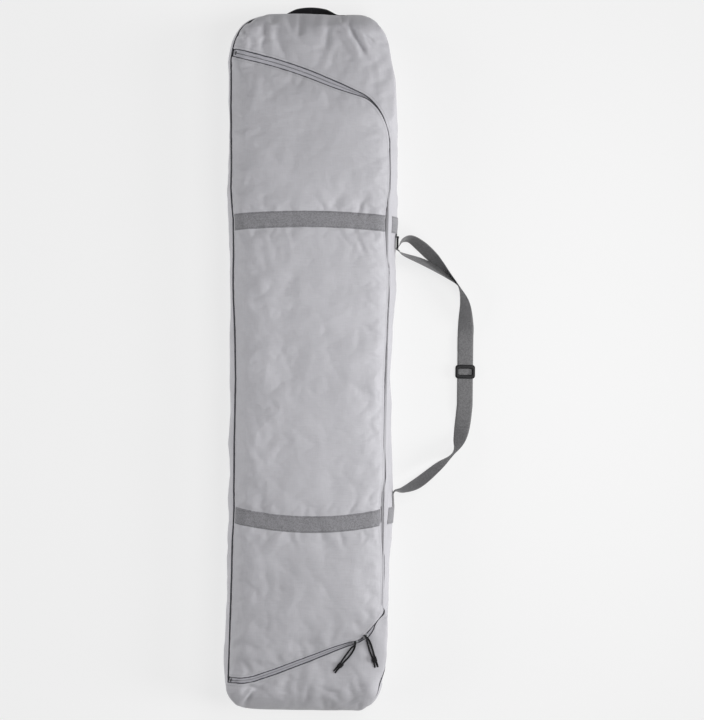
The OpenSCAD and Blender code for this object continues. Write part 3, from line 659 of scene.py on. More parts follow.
# How far the soft sides lean off their straight lines: place along the bag, then left seam and left wall,
# right zip, right seam and right wall
LEAN = np.array([
    (-815, 2.5, 2.5, -16.8, -16.8, -16.8), (-795, 4.5, 4.5, -18.8, -18.8, -18.8), (-775, 2, 2, -18, -18, -18),
    (-757, 0.3, -0.5, -15.8, -15.8, -16), (-735, 0.5, -3, -12, -12.5, -13),
    (-716, 0.9, -4.5, -9.5, -10.3, -10.6), (-684, 1.8, -4.9, -5.5, -6.2, -6.5),
    (-646, 2.6, -2.5, -3, -3.6, -3.8), (-608, 3.1, -0.1, -1.5, -2.8, -3.3), (-570, 4.1, 2.4, -1, -1, -3.3),
    (-530, 4.8, 2.6, -0.3, -0.3, -3.7), (-493, 5.6, 2.2, 0.8, 0.8, -3.4), (-455, 5.8, 3, 0.5, 0.5, -1),
    (-418, 6.4, 3, -4, -4, 1.9), (-380, 8.5, 2.8, -6.9, -0.7, 5.3), (-343, 9.5, 0.7, -6.4, 2.6, 8),
    (-305, 8.4, 1, -3, 0.8, 5.5), (-268, 8.4, 2.2, 2, 2, 3.3), (-230, 8.2, 0.9, 1, 1, 0.9),
    (-192, 8, 0.9, -0.8, -0.8, 0.7), (-155, 8.5, 2.4, -0.8, -0.8, 0.5), (-117, 8.8, 3.1, -0.7, -0.7, -0.6),
    (-80, 8.9, 3.2, -0.9, -0.9, -2.2), (-42, 9.6, 1.1, -0.4, -0.4, -3.8), (-4, 8.5, -0.5, 0.4, 0.4, -4),
    (33, 7.6, -0.5, 1.8, 1.8, -3), (71, 6.2, 0.7, 3.3, 3.3, -0.2), (109, 4.4, 1.2, 4.2, 4.2, 2.3),
    (146, 2.3, 1.1, 5.6, 5.6, 4.9), (184, 1.2, 0.6, 6.5, 6.5, 6.6), (221, 1, -1, 5.5, 5.5, 6.4),
    (259, 1.3, -1.9, 0.2, 0.2, 4.6), (296, 0.6, -3.3, -1.9, 1.9, 6), (334, -0.1, -5.6, -4.2, 3.4, 9),
    (372, -4, -7.2, 0.8, 2.3, 7.6), (409, -6.6, -8, 5, 5, 5.5), (447, -6, -6.7, 5.5, 5.5, 5.5),
    (485, -6.5, -6.1, 4.4, 4.4, 5.8), (522, -7.1, -6.3, 2.8, 2.8, 4.9), (560, -7.8, -5.8, 1, 1, 5.4),
    (597, -8.7, -7.2, 1, 3, 4.7), (635, -8.6, -7.4, 1.5, 2.8, 3.1), (673, -8.8, -7.6, -0.6, -0.6, -0.6),
    (710, -9.6, -9.6, -8.4, -8.4, -8.4), (728, -6.5, -6.5, -12, -12, -12),
    (747, -3.6, -3.6, -15.4, -15.4, -15.4), (766, -1.5, -1.5, -17.1, -17.1, -17.1),
    (785, -2, -2, -19, -19, -19), (800, -3.5, -3.5, -16.3, -16.3, -16.3), (812, -4.5, -4.5, -8.8, -8.8, -8.8),
    (822, -6, -6, -3.6, -3.6, -3.6),
])


def lean(y, column):
    return np.interp(y, LEAN[:, 0], LEAN[:, column])


def sideways(x, left, right):
    return left * rise(-x - 15, 160) + right * rise(x - 15, 160)


def side_shift(x, y):
    """Sideways drift of the slack front, fading to nothing at the middle of the bag."""
    x, y = floats(x, y)
    edge = (lean(y, 4) - lean(y, 3)) * rise(x - 178, 7)
    return (sideways(x, lean(y, 1), lean(y, 3)) + edge) * quiet(x, y)


def wall_shift(x, y, up):
    """The same for the walls of the bag, from the back (0) to the front seam (1)."""
    x, y, up = floats(x, y, up)
    wall = sideways(x, lean(y, 2), lean(y, 5))
    seam = side_shift(np.sign(x) * np.minimum(np.abs(x) + (np.abs(x) > 150) * 20, SEAM_X), y)
    return wall + (seam - wall) * rise(up - 0.4, 0.6) ** 1.4


def quiet(x, y):
    """Nothing at the zip sliders and under their pulls, one well away from them."""
    reach = 30
    p = cols(x, y).reshape(-1, 2)
    pulls = np.array([[(113, -655), (72, -727)], [(137, -640), (170, -712)]], float)
    return 1 - bell(np.minimum(*(nearest(p, line)[0] for line in pulls)), reach).reshape(x.shape)


def at_end(y):
    """Nothing along the bag, one by its end seam."""
    return rise(y - SEAM_Y + 90, 60)


def at_right(x):
    return rise(x - 100, 20)


def overhang(x, y):
    """Where the front's fabric rolls over its seam and hides the piping."""
    right = at_right(x)
    top = at_end(y) * rise(x + 145, 40)
    top_right = right * rise(y - 562, 20)
    bottom_right = right * rise(-y - 572, 20) * np.clip((y + 745) / 60, 0.3, 1)
    bottom = np.where(x < 0, rise(-y - 745, 14), np.clip((172 - x) / 30, 0.3, 1) * rise(-y - 740, 20))
    return np.maximum.reduce([top, top_right, bottom, bottom_right])


# The front's crown and where it fades towards the ends, its fullness along the end seams, how far it rolls over
# the seam, and the height from which it is held down
CROWN, CROWN_END, CROWN_FADE = 15.0, 690, 110
FULLNESS, FULL_INSET, FULL_WIDTH = 6, 24, 18
PUFF, PUFF_INSET = 10.0, 5
HIGH, SOFT = 116, 14

# Creases are held flat under the bands, and fade near the seams and the zip
BAND_HOLD, BAND_REACH, SEAM_REACH = 0.85, 22, 20

# Line of the front's highest fold: place along the bag, place across it
CREST = np.array([
    (-602, 89), (-508, 80), (-415, 63), (-333, 39), (-275, 17), (-216, 51),
    (-158, 69), (-87, 85), (6, 96), (76, 81), (146, 54), (216, 40),
    (286, 20), (379, 19), (450, 30), (543, 59), (637, 74),
])
SETTLED = None
GRID = (73, 331)


def settled(x, y):
    """How far the cloth simulation moved the front at a place, read from its grid."""
    u = (np.clip(x / np.maximum(outline_half(y, BULGE), 1), -1, 1) + 1) / 2 * (GRID[0] - 1)
    v = (np.clip(y / SEAM_Y, -1, 1) + 1) / 2 * (GRID[1] - 1)
    i, j = np.clip(u.astype(int), 0, GRID[0] - 2), np.clip(v.astype(int), 0, GRID[1] - 2)
    a, b = (u - i)[..., None], (v - j)[..., None]
    low = SETTLED[i, j] * (1 - a) + SETTLED[i + 1, j] * a
    high = SETTLED[i, j + 1] * (1 - a) + SETTLED[i + 1, j + 1] * a
    return low * (1 - b) + high * b


def band_line(band, x):
    place, bow = band
    return place + bow * (1 - (x / SEAM_X) ** 2)


def band_distance(x, y):
    return np.minimum(*(np.abs(y - band_line(band, x)) for band in (UPPER_BAND, LOWER_BAND)))


def settle():
    """Lets the whole front settle as slack cloth held at its seams, zip and bands, and keeps how far it moved."""
    last_frame, most = 21, 7
    s, y = np.linspace(-1, 1, GRID[0]), np.linspace(-SEAM_Y, SEAM_Y, GRID[1])
    gx = s[:, None] * outline_half(y, BULGE)
    gy = np.broadcast_to(y, gx.shape)
    start = front(gx, gy)
    start[..., 2] += 0.6 * waves(gx, gy, 21, 40) * (np.abs(s) < 1)[:, None]
    o = mesh_object("settling", start, grid_quads(*GRID), SHELL)
    bd = band_distance(gx, gy)
    seam, zipper = np.clip(1 - seam_inset(gx, gy)[0] / 4, 0, 1), bell(zip_distance(gx, gy)[0], 9)
    hold = np.maximum.reduce([seam, 0.85 * zipper, 0.5 * (bd < 17)])
    slack = np.clip(0.35 + 0.65 * bell(bd - 32, 22) + 0.9 * bell(np.abs(gy) - 780, 60), 0, 1)
    pin, loose = o.vertex_groups.new(name="hold"), o.vertex_groups.new(name="tight")
    for k, (a, b) in enumerate(zip(hold.ravel(), slack.ravel())):
        if a > 0.01:
            pin.add([k], float(a), "REPLACE")
        loose.add([k], float(1 - b), "REPLACE")
    cloth = o.modifiers.new("cloth", "CLOTH")
    c = cloth.settings
    c.quality, c.mass, c.air_damping = 6, 0.25, 2.0
    c.tension_stiffness = c.compression_stiffness = 12
    c.shear_stiffness, c.bending_stiffness = 4, 0.8
    c.vertex_group_mass, c.pin_stiffness = "hold", 3
    c.vertex_group_shrink, c.shrink_min, c.shrink_max = "tight", -0.03, 0.0
    c.use_pressure, c.uniform_pressure_force = True, 1.0
    c.effector_weights.gravity = 0.0
    cloth.collision_settings.use_collision = False
    scene = bpy.context.scene
    for k in range(1, last_frame + 1):
        scene.frame_set(k)
    done = o.evaluated_get(bpy.context.evaluated_depsgraph_get()).to_mesh()
    co = np.zeros(len(done.vertices) * 3)
    done.vertices.foreach_get("co", co)
    moved = co.reshape(*GRID, 3) / MM - start
    o.to_mesh_clear()
    scene.frame_set(1)
    bpy.data.objects.remove(o)
    size = np.linalg.norm(moved, axis=-1, keepdims=True)
    return moved * (most * np.tanh(size / most) / np.maximum(size, 1e-6))


def front(x, y):
    """The outer face of the bag's front at a place seen from above."""
    x, y = floats(x, y)
    d, nx, ny = seam_inset(x, y)
    calm = quiet(x, y)
    flat = 1 - BAND_HOLD * bell(band_distance(x, y) / BAND_REACH, 1.0) ** 2
    free = 1 - bell(np.minimum(d, zip_distance(x, y)[0]), SEAM_REACH)

    # Packed shape: level, with round shoulders, falling to the ends
    wide = np.clip(np.abs(x) / np.maximum(outline_half(y, BULGE), 1), 0, 1) * SEAM_X
    run = np.clip(wide - SEAM_X + SHOULDER, 0, SHOULDER)
    shoulder = DEPTH - SHOULDER_R + np.sqrt(SHOULDER_R ** 2 - run ** 2)
    z = seam_height(y) + (1 - end_fall(y)) * (shoulder - SEAM_Z)

    # Crown along the crest, fullness at the ends, folds and creases
    wander, blunt, right = 12 * noise(y / 42, 0.3, 6), 0.0004, 176
    crest = np.interp(y, *CREST.T) + wander
    slope = np.where(x > crest, (x - crest) / (right - crest), (crest - x) / (crest + SEAM_X))
    crown = CROWN * (1 - np.sqrt(np.clip(slope, 0, 1) ** 2 + blunt))
    z = z + crown * rise(CROWN_END - np.abs(y), CROWN_FADE) * calm
    z = z + FULLNESS * at_end(np.abs(y)) * bell(d - FULL_INSET, FULL_WIDTH)
    z = z + calm * flat * (folds(x, y) + free * crumple(x, y))

    # Fabric rolled over the seam, and what the cloth simulation moved
    reach = 12 - 7 * at_right(x) * rise(650 - np.abs(y), 40)
    puff = PUFF * overhang(x, y) * rise(d, PUFF_INSET) * bell(d - PUFF_INSET, reach)
    p = cols(x + nx * puff + side_shift(x, y), y + ny * puff, z)
    if SETTLED is not None:
        p = p + settled(x, y) * (calm * flat)[..., None]

    # Nothing stands up sharply
    over = np.maximum(p[..., 2] - HIGH, 0)
    p[..., 2] += SOFT * np.tanh(over / SOFT) - over
    return p


def edge_uv(x, y):
    d, run, half = zip_distance(x, y)
    return cols(np.maximum(d - half, 0), run)


# ---- the front: lid and end panels ----
def fold_back(o):
    """A piece of the lid, with its transform baked into its mesh."""
    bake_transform(o)


def dress(o, body, slot, *nodes):
    """Hangs a piece from its body's empty, or for the lid only bakes its transform, and hides the part's own solids it
    replaces.
    """
    if body == "lid":
        fold_back(o)
    else:
        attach(o, body)
    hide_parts(*nodes)


def padded(name, p, mats, edge, body, node):
    """A panel of padded shell fabric."""
    o = slab(name, p, FABRIC, mats, edge)
    dress(o, body, "shell_fabric", node)


def far_from_zip(run):
    """Edge coordinates of fabric without topstitching."""
    return cols(60, run)


def lid_edges():
    """The lid's upper and lower edge, each from the left seam to where the zip runs straight along the side."""
    line = zip_offset(OPENING)
    straight = np.flatnonzero(line[:, 0] > line[:, 0].max() - 0.05)
    return line[:straight[0] + 1], line[straight[-1]:][::-1]


def build_lid():
    """The lid's fabric, in columns that are even over the first share of its width and then draw closer together."""
    columns, rows = 93, 371
    (even, even_width), (close, close_width) = (0.7, 0.78), (0.3, 0.22)
    upper, lower = lid_edges()
    left, right = -183.0, min(upper[-1, 0], lower[-1, 0])
    k = np.linspace(0, 1, columns)
    closer = even_width + close_width * np.sin((k - even) / close * math.pi / 2)
    x = left + (right - left) * np.where(k < even, k / even * even_width, closer)
    yt, yb = np.interp(x, *upper.T), np.interp(x, *lower.T)
    gx, gy = floats(x[:, None], yb[:, None] + (yt - yb)[:, None] * np.linspace(0, 1, rows))
    padded("lid_cloth", front(gx, gy), [SHELL, LINING], edge_uv(gx, gy), "lid", "lid_panel")


SLANT_Y = 583  # where the slanted seam between end panel and facing meets the side seam


def build_end(top):
    """The front's fabric beyond the zip, from the zip's opening to the end seam."""
    columns, rows, left = 91, 64, -183.2
    way = 1 if top else -1
    line = zip_offset(-OPENING - ROOM)[(ZIP[:, 1] * way > 0) & (ZIP[:, 0] < STRAIGHT)][::way]
    line = np.concatenate([line, [[SEAM_X, way * SLANT_Y]]])
    x = left * np.cos(math.pi * np.linspace(0, 1, columns))
    near = way * np.interp(x, *line.T)
    far = outline_end(x, BULGE + 2.3, TOP_R if top else BOTTOM_R)
    u = 1 - (1 - np.linspace(0, 1, rows)) ** 1.5
    gx, gy = floats(x[:, None], way * (near[:, None] + (far - near)[:, None] * u))
    if not top:
        gx, gy = gx[:, ::-1], gy[:, ::-1]
    name = "top" if top else "bottom"
    padded(name + "_cloth", front(gx, gy), [SHELL, LINING], edge_uv(gx, gy), "bag", name + "_panel")


# ---- gussets and back ----
def end_outline(top):
    """Points and outward directions round one end, counter-clockwise."""
    r, way, first, turns, across = (TOP_R, 1, 0, 19, 27) if top else (BOTTOM_R, -1, 180, 15, 33)
    cx, cy = way * (SIDE_X - r), way * (END_Y - r)

    def corner(x, start):
        w = np.radians(np.linspace(start, start + 90, turns))
        return cols(x + r * np.cos(w), cy + r * np.sin(w), np.cos(w), np.sin(w))

    x = np.linspace(cx, -cx, across)[1:-1]
    return np.concatenate([corner(cx, first), cols(x, way * END_Y, 0, way), corner(-cx, first + 90)])


# Height of the gussets' lower edge, and the middles of what is sewn on the right one
FOOT, SEWN_ON = 0.8, (312, -345)


def gusset(name, rows):
    """A wall of the bag: it swells between its seams, with slack and puckers, and lies flat under the sewn bands."""
    wavy, creased, puckered = 1.2, 0.45, 2.6
    t = np.linspace(0, 1, 25)
    x, y, nx, ny = (rows[:, k:k + 1] for k in range(4))
    top = seam_height(y - ny * BULGE) - 1.0 + 2.5 * np.abs(ny)
    run = length_along(rows[:, :2])[:, None]
    swell = BULGE * (1 - (2 * t - 1) ** 2)
    pucker = noise(run / 17, t * 2.2 + 3, 12) * bell(t - 0.93, 0.16)
    pucker = pucker + noise(run / 21, t * 2.0 + 9, 13) * bell(t - 0.06, 0.14)
    slack = wavy * waves(x, y + t * 30, 8, 210) + creased * crumple(run * 0.8, t * 95 + 400) + puckered * pucker
    sewn = np.where(x > 150, np.minimum(*(np.abs(y - place) for place in SEWN_ON)), 999)
    slack = slack * rise(sewn - 45, 25)
    swell = swell + np.sin(np.pi * np.clip(t, 0.02, 0.98)) ** 0.7 * slack
    px = x - nx * (BULGE - swell)
    p = cols(px + wall_shift(px, y, t), y - ny * (BULGE - swell), FOOT + (top - FOOT) * t)
    padded(name + "_cloth", p, [SHELL, LINING], far_from_zip(run + 0 * px), "bag", name)


def build_gussets():
    y = np.linspace(END_Y - TOP_R, BOTTOM_R - END_Y, 300)
    gusset("left_gusset", cols(-SIDE_X, y, -1, 0))
    gusset("right_gusset", cols(SIDE_X, y[::-1], 1, 0))
    gusset("top_gusset", end_outline(True))
    gusset("bottom_gusset", end_outline(False))


def build_back():
    y = np.concatenate([
        -SEAM_Y + (BOTTOM_R - BULGE) * (1 - np.cos(np.linspace(0, math.pi / 2, 12))),
        np.linspace(BOTTOM_R - END_Y, END_Y - TOP_R, 60)[1:-1],
        SEAM_Y - (TOP_R - BULGE) * (1 - np.cos(np.linspace(math.pi / 2, 0, 14))),
    ])
    s = np.sin(np.linspace(-math.pi / 2, math.pi / 2, 31))
    gx = outline_half(y, BULGE)[None] * s[:, None]
    gy = np.broadcast_to(y, gx.shape)
    p = cols(gx + wall_shift(gx, gy, 0), gy, FABRIC)
    padded("back_cloth", p, [LINING, SHELL], far_from_zip(gy), "bag", "back_panel")


def build_binding():
    """The bound seam allowance that stands up inside, all round the back."""
    rows = np.concatenate([end_outline(True), end_outline(False)])
    inset, height, half_wide, thick = BULGE + 4.5, 7.2, 4.6, 2.2
    line = rows[:, :2] - rows[:, 2:] * inset
    line = resample(np.concatenate([line, line[:1]]), 8)[:-1]
    line[:, 0] += wall_shift(line[:, 0], line[:, 1], 0)
    line = np.concatenate([line, line[:2]])
    middle = cols(*line.T, height)
    o = strip("back_seam_binding_tape", middle, (0, 0, 1), half_wide, thick, HANDLE_CLOTH)
    dress(o, "bag", "seam_piping", "back_seam_binding")


# ---- piping ----
def seam_line(top):
    """Path of the piping round one end, tucked under the fabric where it leaves along the right side."""
    rows = end_outline(top)
    way, first, last = (1, 581, 730.3) if top else (-1, -751.3, -591)
    rows = np.concatenate([[[way * SIDE_X, first, way, 0]], rows, [[-way * SIDE_X, last, -way, 0]]])
    x, y = (rows[:, :2] - rows[:, 2:] * BULGE).T
    line = resample(cols(x, y, seam_height(y)), 6)
    line[:, 0] += side_shift(line[:, 0], line[:, 1])
    tuck = rise(660 - np.abs(line[:, 1]), 60) * (line[:, 0] > 0)
    line -= tuck[:, None] * (3, 0, 5)
    return line


def build_piping():
    radius = 2.0
    y = np.linspace(-751, 730, 260)
    line = cols(-SEAM_X, y, SEAM_Z + 0.2)
    line[:, 0] += side_shift(line[:, 0], line[:, 1])
    for name, path in (("hinge_piping", line), ("top_piping", seam_line(True)), ("bottom_piping", seam_line(False))):
        dress(tube(name + "_cord", path, radius, PIPING), "bag", "seam_piping", name)


# ---- zip ----
def on_front(line, depth):
    """Points of a line seen from above laid on the front, and sunk below it."""
    x, y = line[:, 0], line[:, 1]
    e = 0.5
    n = unit(np.cross(front(x + e, y) - front(x - e, y), front(x, y + e) - front(x, y - e)))
    return front(x, y) - n * np.reshape(depth, (-1, 1)), n


def build_tape(name, body, side):
    """Half of the zip tape, with the bead that covers the coil and a slit along the middle."""
    thick, depth, left, right, give = 0.8, 2.3, -184.2, 181, 1.8
    d = np.array([0.35, 0.9, 1.8, 2.8, 3.8, 4.8, 5.8, 7.0, 8.2, 9.4, 10.6, 12.0, 13.5])
    bead = 0.7 * np.exp(-(d / 3.0) ** 4) - 0.35 * np.exp(-(d / 0.6) ** 2)
    rows = []
    for k, b in zip(d, bead):
        line = zip_offset(side * k)
        line[:, 0] = np.maximum(line[:, 0], left)
        past = np.maximum(line[:, 0] - right, 0)
        line[:, 0] += give * (1 - np.exp(-past / give)) - past
        rows.append(on_front(line, depth - b)[0])
    p = np.stack(rows, 0)
    n, m = p.shape[:2]
    v, u = floats(ZIP_RUN, d[:, None])
    # How far each row lies inside the fabric's edge; the tape's material paints shade along that edge from it
    rim = OPENING + (ROOM if side < 0 else 0) - u
    norm = grid_normals(p)
    under = p - np.sign(norm[..., 2:3]) * norm * thick
    quads = grid_quads(n, m)
    loop = border(n, m)
    hem = np.stack([loop, loop + n * m, np.roll(loop, -1) + n * m, np.roll(loop, -1)], -1)
    faces = np.concatenate([quads, quads[:, ::-1] + n * m, hem])
    if side > 0:
        faces = faces[:, ::-1]
    weave, edge = (np.concatenate([cols(a, v)] * 2) for a in (u, rim))
    o = mesh_object(name + "_cloth", np.concatenate([p, under]), faces, TAPE, weave)
    add_uv(o, "edge", edge)
    dress(o, body, "zip_tape", name)


def build_coil(name, body, side):
    """Half of the zip's coil: a flattened spiral under the tape, short of the zip's ends."""
    beside, depth, pitch, half_wide, half_high, wire = 1.6, 4.3, 3.3, 1.1, 0.65, 0.32
    line = zip_offset(side * beside)[np.abs(ZIP[:, 0] + SEAM_X) > 12]
    fine = resample(np.concatenate(on_front(line, depth), 1), 0.55)
    middle, n = fine[:, :3], fine[:, 3:]
    a = np.cross(tangents(middle), n)
    w = length_along(middle)[:, None] * TURN / pitch
    helix = middle + half_wide * np.cos(w) * a + half_high * np.sin(w) * n
    dress(tube(name + "_spiral", helix, wire, COIL, sides=4), body, "zip_coil", name)


def build_facing():
    """The folded edge of the right gusset along the zip, which dips under the end panels at its slanted seams."""
    dip, inner, outer, left, gap = 1.3, 180, 186, 172, 0.4
    y = np.linspace(-590.7, 587, 200)
    line = zip_offset(-OPENING - ROOM)[::-1]
    side = ZIP[ZIP[:, 0] >= STRAIGHT, 1]
    past = np.maximum(np.maximum(y - side.max(), side.min() - y), 0)
    meet = np.interp(y, [-SLANT_Y, side.min(), side.max(), SLANT_Y], [outer, inner, inner, outer])
    start = np.maximum(np.interp(y, line[:, 1], line[:, 0]) + gap, left)
    gx = start + (SEAM_X - start) * np.linspace(0, 1, 13)[:, None]
    gy = np.broadcast_to(y, gx.shape)
    p = front(gx, gy)
    p[..., 2] -= dip * rise(past, 3) * np.clip(meet - gx + 0.6, 0, 1)
    o = slab("zip_facing_cloth", p, FABRIC, SHELL, far_from_zip(gy), rim_steps=3)
    dress(o, "bag", "shell_fabric", "zip_facing")


# ---- webbing bands ----
def build_lid_band(name, band):
    """Webbing across the lid, laid on the front, with its long edges drawn down."""
    high, drawn_down = 1.7, 1.2
    x = np.linspace(-181, 174.6, 120)[:, None]
    u = np.linspace(-1, 1, 15)
    gx, gy = floats(x, band_line(band, x) + BAND * u)
    p = front(gx, gy)
    p[..., 2] += high - drawn_down * np.abs(u) ** 10
    o = slab(name + "_cloth", p, WEBBING, BAND_CLOTH)
    x, y = vertices(o)[:, :2].T
    add_uv(o, "weave", cols(y - band_line(band, x), x))
    dress(o, "lid", "band_webbing", name)


def gusset_strip(node, y0, y1, z0, z1, mat, slot):
    """Webbing sewn flat on the right gusset; bands run up it, and the strap's end runs along it."""
    step = 4.0
    z = np.linspace(z0, z1, max(6, int((z1 - z0) / step)))
    t = (z - FOOT) / (SEAM_Z - 1 - FOOT)
    y = np.linspace(y0, y1, max(8, int((y1 - y0) / step)))
    gx, gy = np.meshgrid(SIDE_X - BULGE * (2 * t - 1) ** 2 + 1.5, y, indexing="ij")
    p = cols(gx + wall_shift(gx, gy, t[:, None]), gy, z[:, None])
    o = slab(node + "_cloth", np.transpose(p, (1, 0, 2)), WEBBING, mat)
    y, z = vertices(o)[:, 1:].T
    add_uv(o, "weave", cols(y - (y0 + y1) / 2, z) if slot == "band_webbing" else cols(z - (z0 + z1) / 2, y))
    dress(o, "bag", slot, node)


# ---- shoulder strap ----
GUSSET_Z = FABRIC + (SEAM_Z - FABRIC) / 2
ANCHOR_Y, RING_Y, TAB_Y, RING_X = -309.0, 273.0, 298.0, 203.0
REACH, FLEX, EDGE = 176.0, 66.0, GUSSET_Z - BAND
BAR_Z, STRAP_Z = 2.0, 6.5
ADJUSTER_X, ADJUSTER_Y = SIDE_X + REACH, -19.0

# The strap's route: out from the bag's side, along the bag, height of the lower edge and twist in degrees
LOWER = [
    (6.2, 0.5, EDGE, 90), (11, 6, EDGE, 88), (30, 8, 26, 72), (FLEX, 25, 21, 52), (FLEX + 46, 62, 10, 62),
    (REACH - 27, 94, 2.5, 86), (REACH - 13, 126, 1.5, 45), (REACH - 5, 163, 2.5, 14), (REACH, 210, STRAP_Z + 0.7, 0),
]
UPPER = [
    (REACH, -211, STRAP_Z + 0.7, 0), (REACH - 1, -176, 4.5, 27), (REACH - 5, -126, 2.5, 62), (REACH - 19, -88, 3, 93),
    (REACH - 44, -64, 4, 112), (FLEX + 30, -43, 10, 118), (FLEX, -29, 16, 117), (24, -14, 25, 104), (13, -6, EDGE, 90),
]
RETURN = [
    (13, 6, EDGE, 90), (22, 19, 27, 100), (41, 22, 25, 117), (FLEX, 6, 20, 131), (FLEX + 24, -15, 13, 132),
    (FLEX + 44, -34, 8.5, 118), (REACH - 43, -56, 4.5, 96), (REACH - 18, -88, 2, 90), (REACH - 3, -128, 0.9, 122),
    (REACH + 1, -178, 0.9, 153), (REACH, -211, BAR_Z + 0.7, 180), (REACH, -243, BAR_Z + 0.7, 180),
]


def placed(route, y):
    return smooth_curve([(SIDE_X + a, y + b, c, d) for a, b, c, d in route], 10)


def arc(x, y, r, degrees):
    return [(x + r * math.cos(a), y + r * math.sin(a)) for a in np.radians(degrees)]


def build_strap():
    """One webbing from its sewn end to the ring, round the ring's bar and back to the adjuster."""
    bar = np.array([(x, y, EDGE, 90) for x, y in arc(RING_X, RING_Y, 3, np.arange(-90, -270.1, -15))])
    line = np.concatenate([placed(LOWER, ANCHOR_Y), placed(UPPER, RING_Y), bar, placed(RETURN, RING_Y)])
    twist = np.radians(line[:, 3])
    c, s = np.cos(twist), np.sin(twist)
    dx, dy = tangents(line[:, :2]).T
    middle = line[:, :3].copy()
    middle[:, 2] += BAND * np.abs(s)
    across, out = cols(dy * c, -dx * c, s), cols(-dy * s, dx * s, c)
    o = strip("shoulder_strap_webbing", middle, across, BAND, WEBBING, STRAP_CLOTH, out, columns=11)
    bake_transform(o)
    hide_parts("shoulder_strap", "strap_return", "strap_lower_flex", "strap_upper_flex")


def extruded(name, profile, thick, place, across):
    """Webbing that follows a flat profile: where the profile's points lie, and the direction of its width."""
    p = np.array([place(a, b) for a, b in resample(smooth_curve(profile, 8), 1.2)])
    return strip(name, p, across, 18.0, thick, STRAP_CLOTH)


def build_small_webbing():
    """The tab that holds the ring, and the sewn loop round the adjuster's middle bar."""
    seat, y = SIDE_X + 6.6, TAB_Y
    ring = arc(RING_X, y, 2.95, np.arange(150, -125, -25))
    profile = [(seat, y + 8.5), (seat + 0.6, y + 5.5), (RING_X - 4.5, y + 3.0)] + ring
    profile += [(seat + 1.6, y + 1.0), (seat, y + 2.5)]
    o = extruded("ring_tab_webbing", profile, 1.1, lambda a, b: (a, b, GUSSET_Z), (0, 0, 1))
    dress(o, "bag", "strap_webbing", "ring_tab")
    loop = [
        (37, 1.0), (20, 1.0), (3, 1.0), (-1.5, 1.05), (-3.5, 2.2), (-3.5, 4.4), (-1.5, 5.5), (1.5, 5.5), (3.5, 4.4),
        (3.5, 3.4), (6.5, 2.3),
    ]
    o = extruded("adjuster_loop_webbing", loop, 1.2, lambda a, b: (ADJUSTER_X, ADJUSTER_Y + a, b), (1, 0, 0))
    dress(o, "adjuster", "strap_webbing", "adjuster_loop")


def rounded_box(name, lo, hi, radius, mat):
    """A moulded bar with rounded edges."""
    bpy.ops.mesh.primitive_cube_add(size=1)
    o = bpy.context.object
    o.name = name
    lo, hi = np.array(lo) * MM, np.array(hi) * MM
    o.data.transform(Matrix.LocRotScale(Vector((lo + hi) / 2), None, Vector(hi - lo)))
    b = o.modifiers.new("round", "BEVEL")
    b.width, b.segments = radius * MM, 3
    bpy.ops.object.modifier_apply(modifier="round")
    o.data.polygons.foreach_set("use_smooth", np.ones(len(o.data.polygons), bool))
    o.data.materials.append(mat)
    return o


def joined(parts):
    for o in bpy.context.selected_objects:
        o.select_set(False)
    for o in parts:
        o.select_set(True)
    bpy.context.view_layer.objects.active = parts[0]
    bpy.ops.object.join()
    return parts[0]


def build_stops():
    """Small crimped metal stops across both ends of the zip."""
    stop_x, depth, near_end = -176, 1.6, 9
    half = np.array([4, 2, 1.3])
    off = np.abs(ZIP[:, 0] - stop_x)
    parts = []
    for k in (np.argmin(off[:near_end]), len(ZIP) - near_end + np.argmin(off[-near_end:])):
        p, n = on_front(ZIP[k - 1:k + 2], depth)
        along = unit(p[2] - p[0])
        o = rounded_box("zip_stops_metal", -half, half, 0.8, STOP_METAL)
        turn = np.eye(4)
        turn[:3] = cols(np.cross(along, n[1]), along, n[1], p[1] * MM)
        o.data.transform(Matrix(turn.tolist()))
        parts.append(o)
    dress(joined(parts), "bag", "slider_metal", "zip_end_stops")


def rounded_frame(half_x, half_y, r):
    """Points round a rectangle with rounded corners."""
    points = []
    for k, (sx, sy) in enumerate(((1, 1), (-1, 1), (-1, -1), (1, -1))):
        points += arc(sx * (half_x - r), sy * (half_y - r), r, np.linspace(90 * k, 90 * k + 90, 6))
    return np.array(points)


def build_adjuster():
    """Three-bar slide: a rounded frame over the strap, side rails and a bar below that holds the sewn loop."""
    x, y = ADJUSTER_X, ADJUSTER_Y
    low, high, e = 8.2, 11.2, 1.0
    rings = []
    for half_x, half_y, radius, z in (
        (23.8, 16.5, 7, low + e), (23.8, 16.5, 7, high - e), (23.5, 16.2, 6.8, high - 0.4), (22.8, 15.5, 6, high),
        (17.4, 8.6, 3.5, high), (16.7, 7.9, 3, high - 0.4), (16.4, 7.6, 2.8, high - e), (16.4, 7.6, 2.8, low + e),
        (17.2, 8.4, 3.2, low), (23.0, 15.7, 6.2, low),
    ):
        flat = rounded_frame(half_x, half_y, radius)
        rings.append(cols(flat[:, 0] + x, flat[:, 1] + y, z))
    p = np.array(rings)
    n, m = p.shape[:2]
    parts = [mesh_object("strap_adjuster_moulding", p, ring_quads(n, m, n), BLACK)]
    for k, s in enumerate((-1, 1)):
        c = x + s * 21.6
        parts.append(rounded_box(f"rail{k}", (c - 1.8, y - 10, BAR_Z), (c + 1.8, y + 10, 9.5), 1.2, BLACK))
    parts.append(rounded_box("bar", (x - 23, y - 2.5, BAR_Z), (x + 23, y + 2.5, BAR_Z + 2.5), 0.9, BLACK))
    dress(joined(parts), "adjuster", "black_plastic", "strap_adjuster")


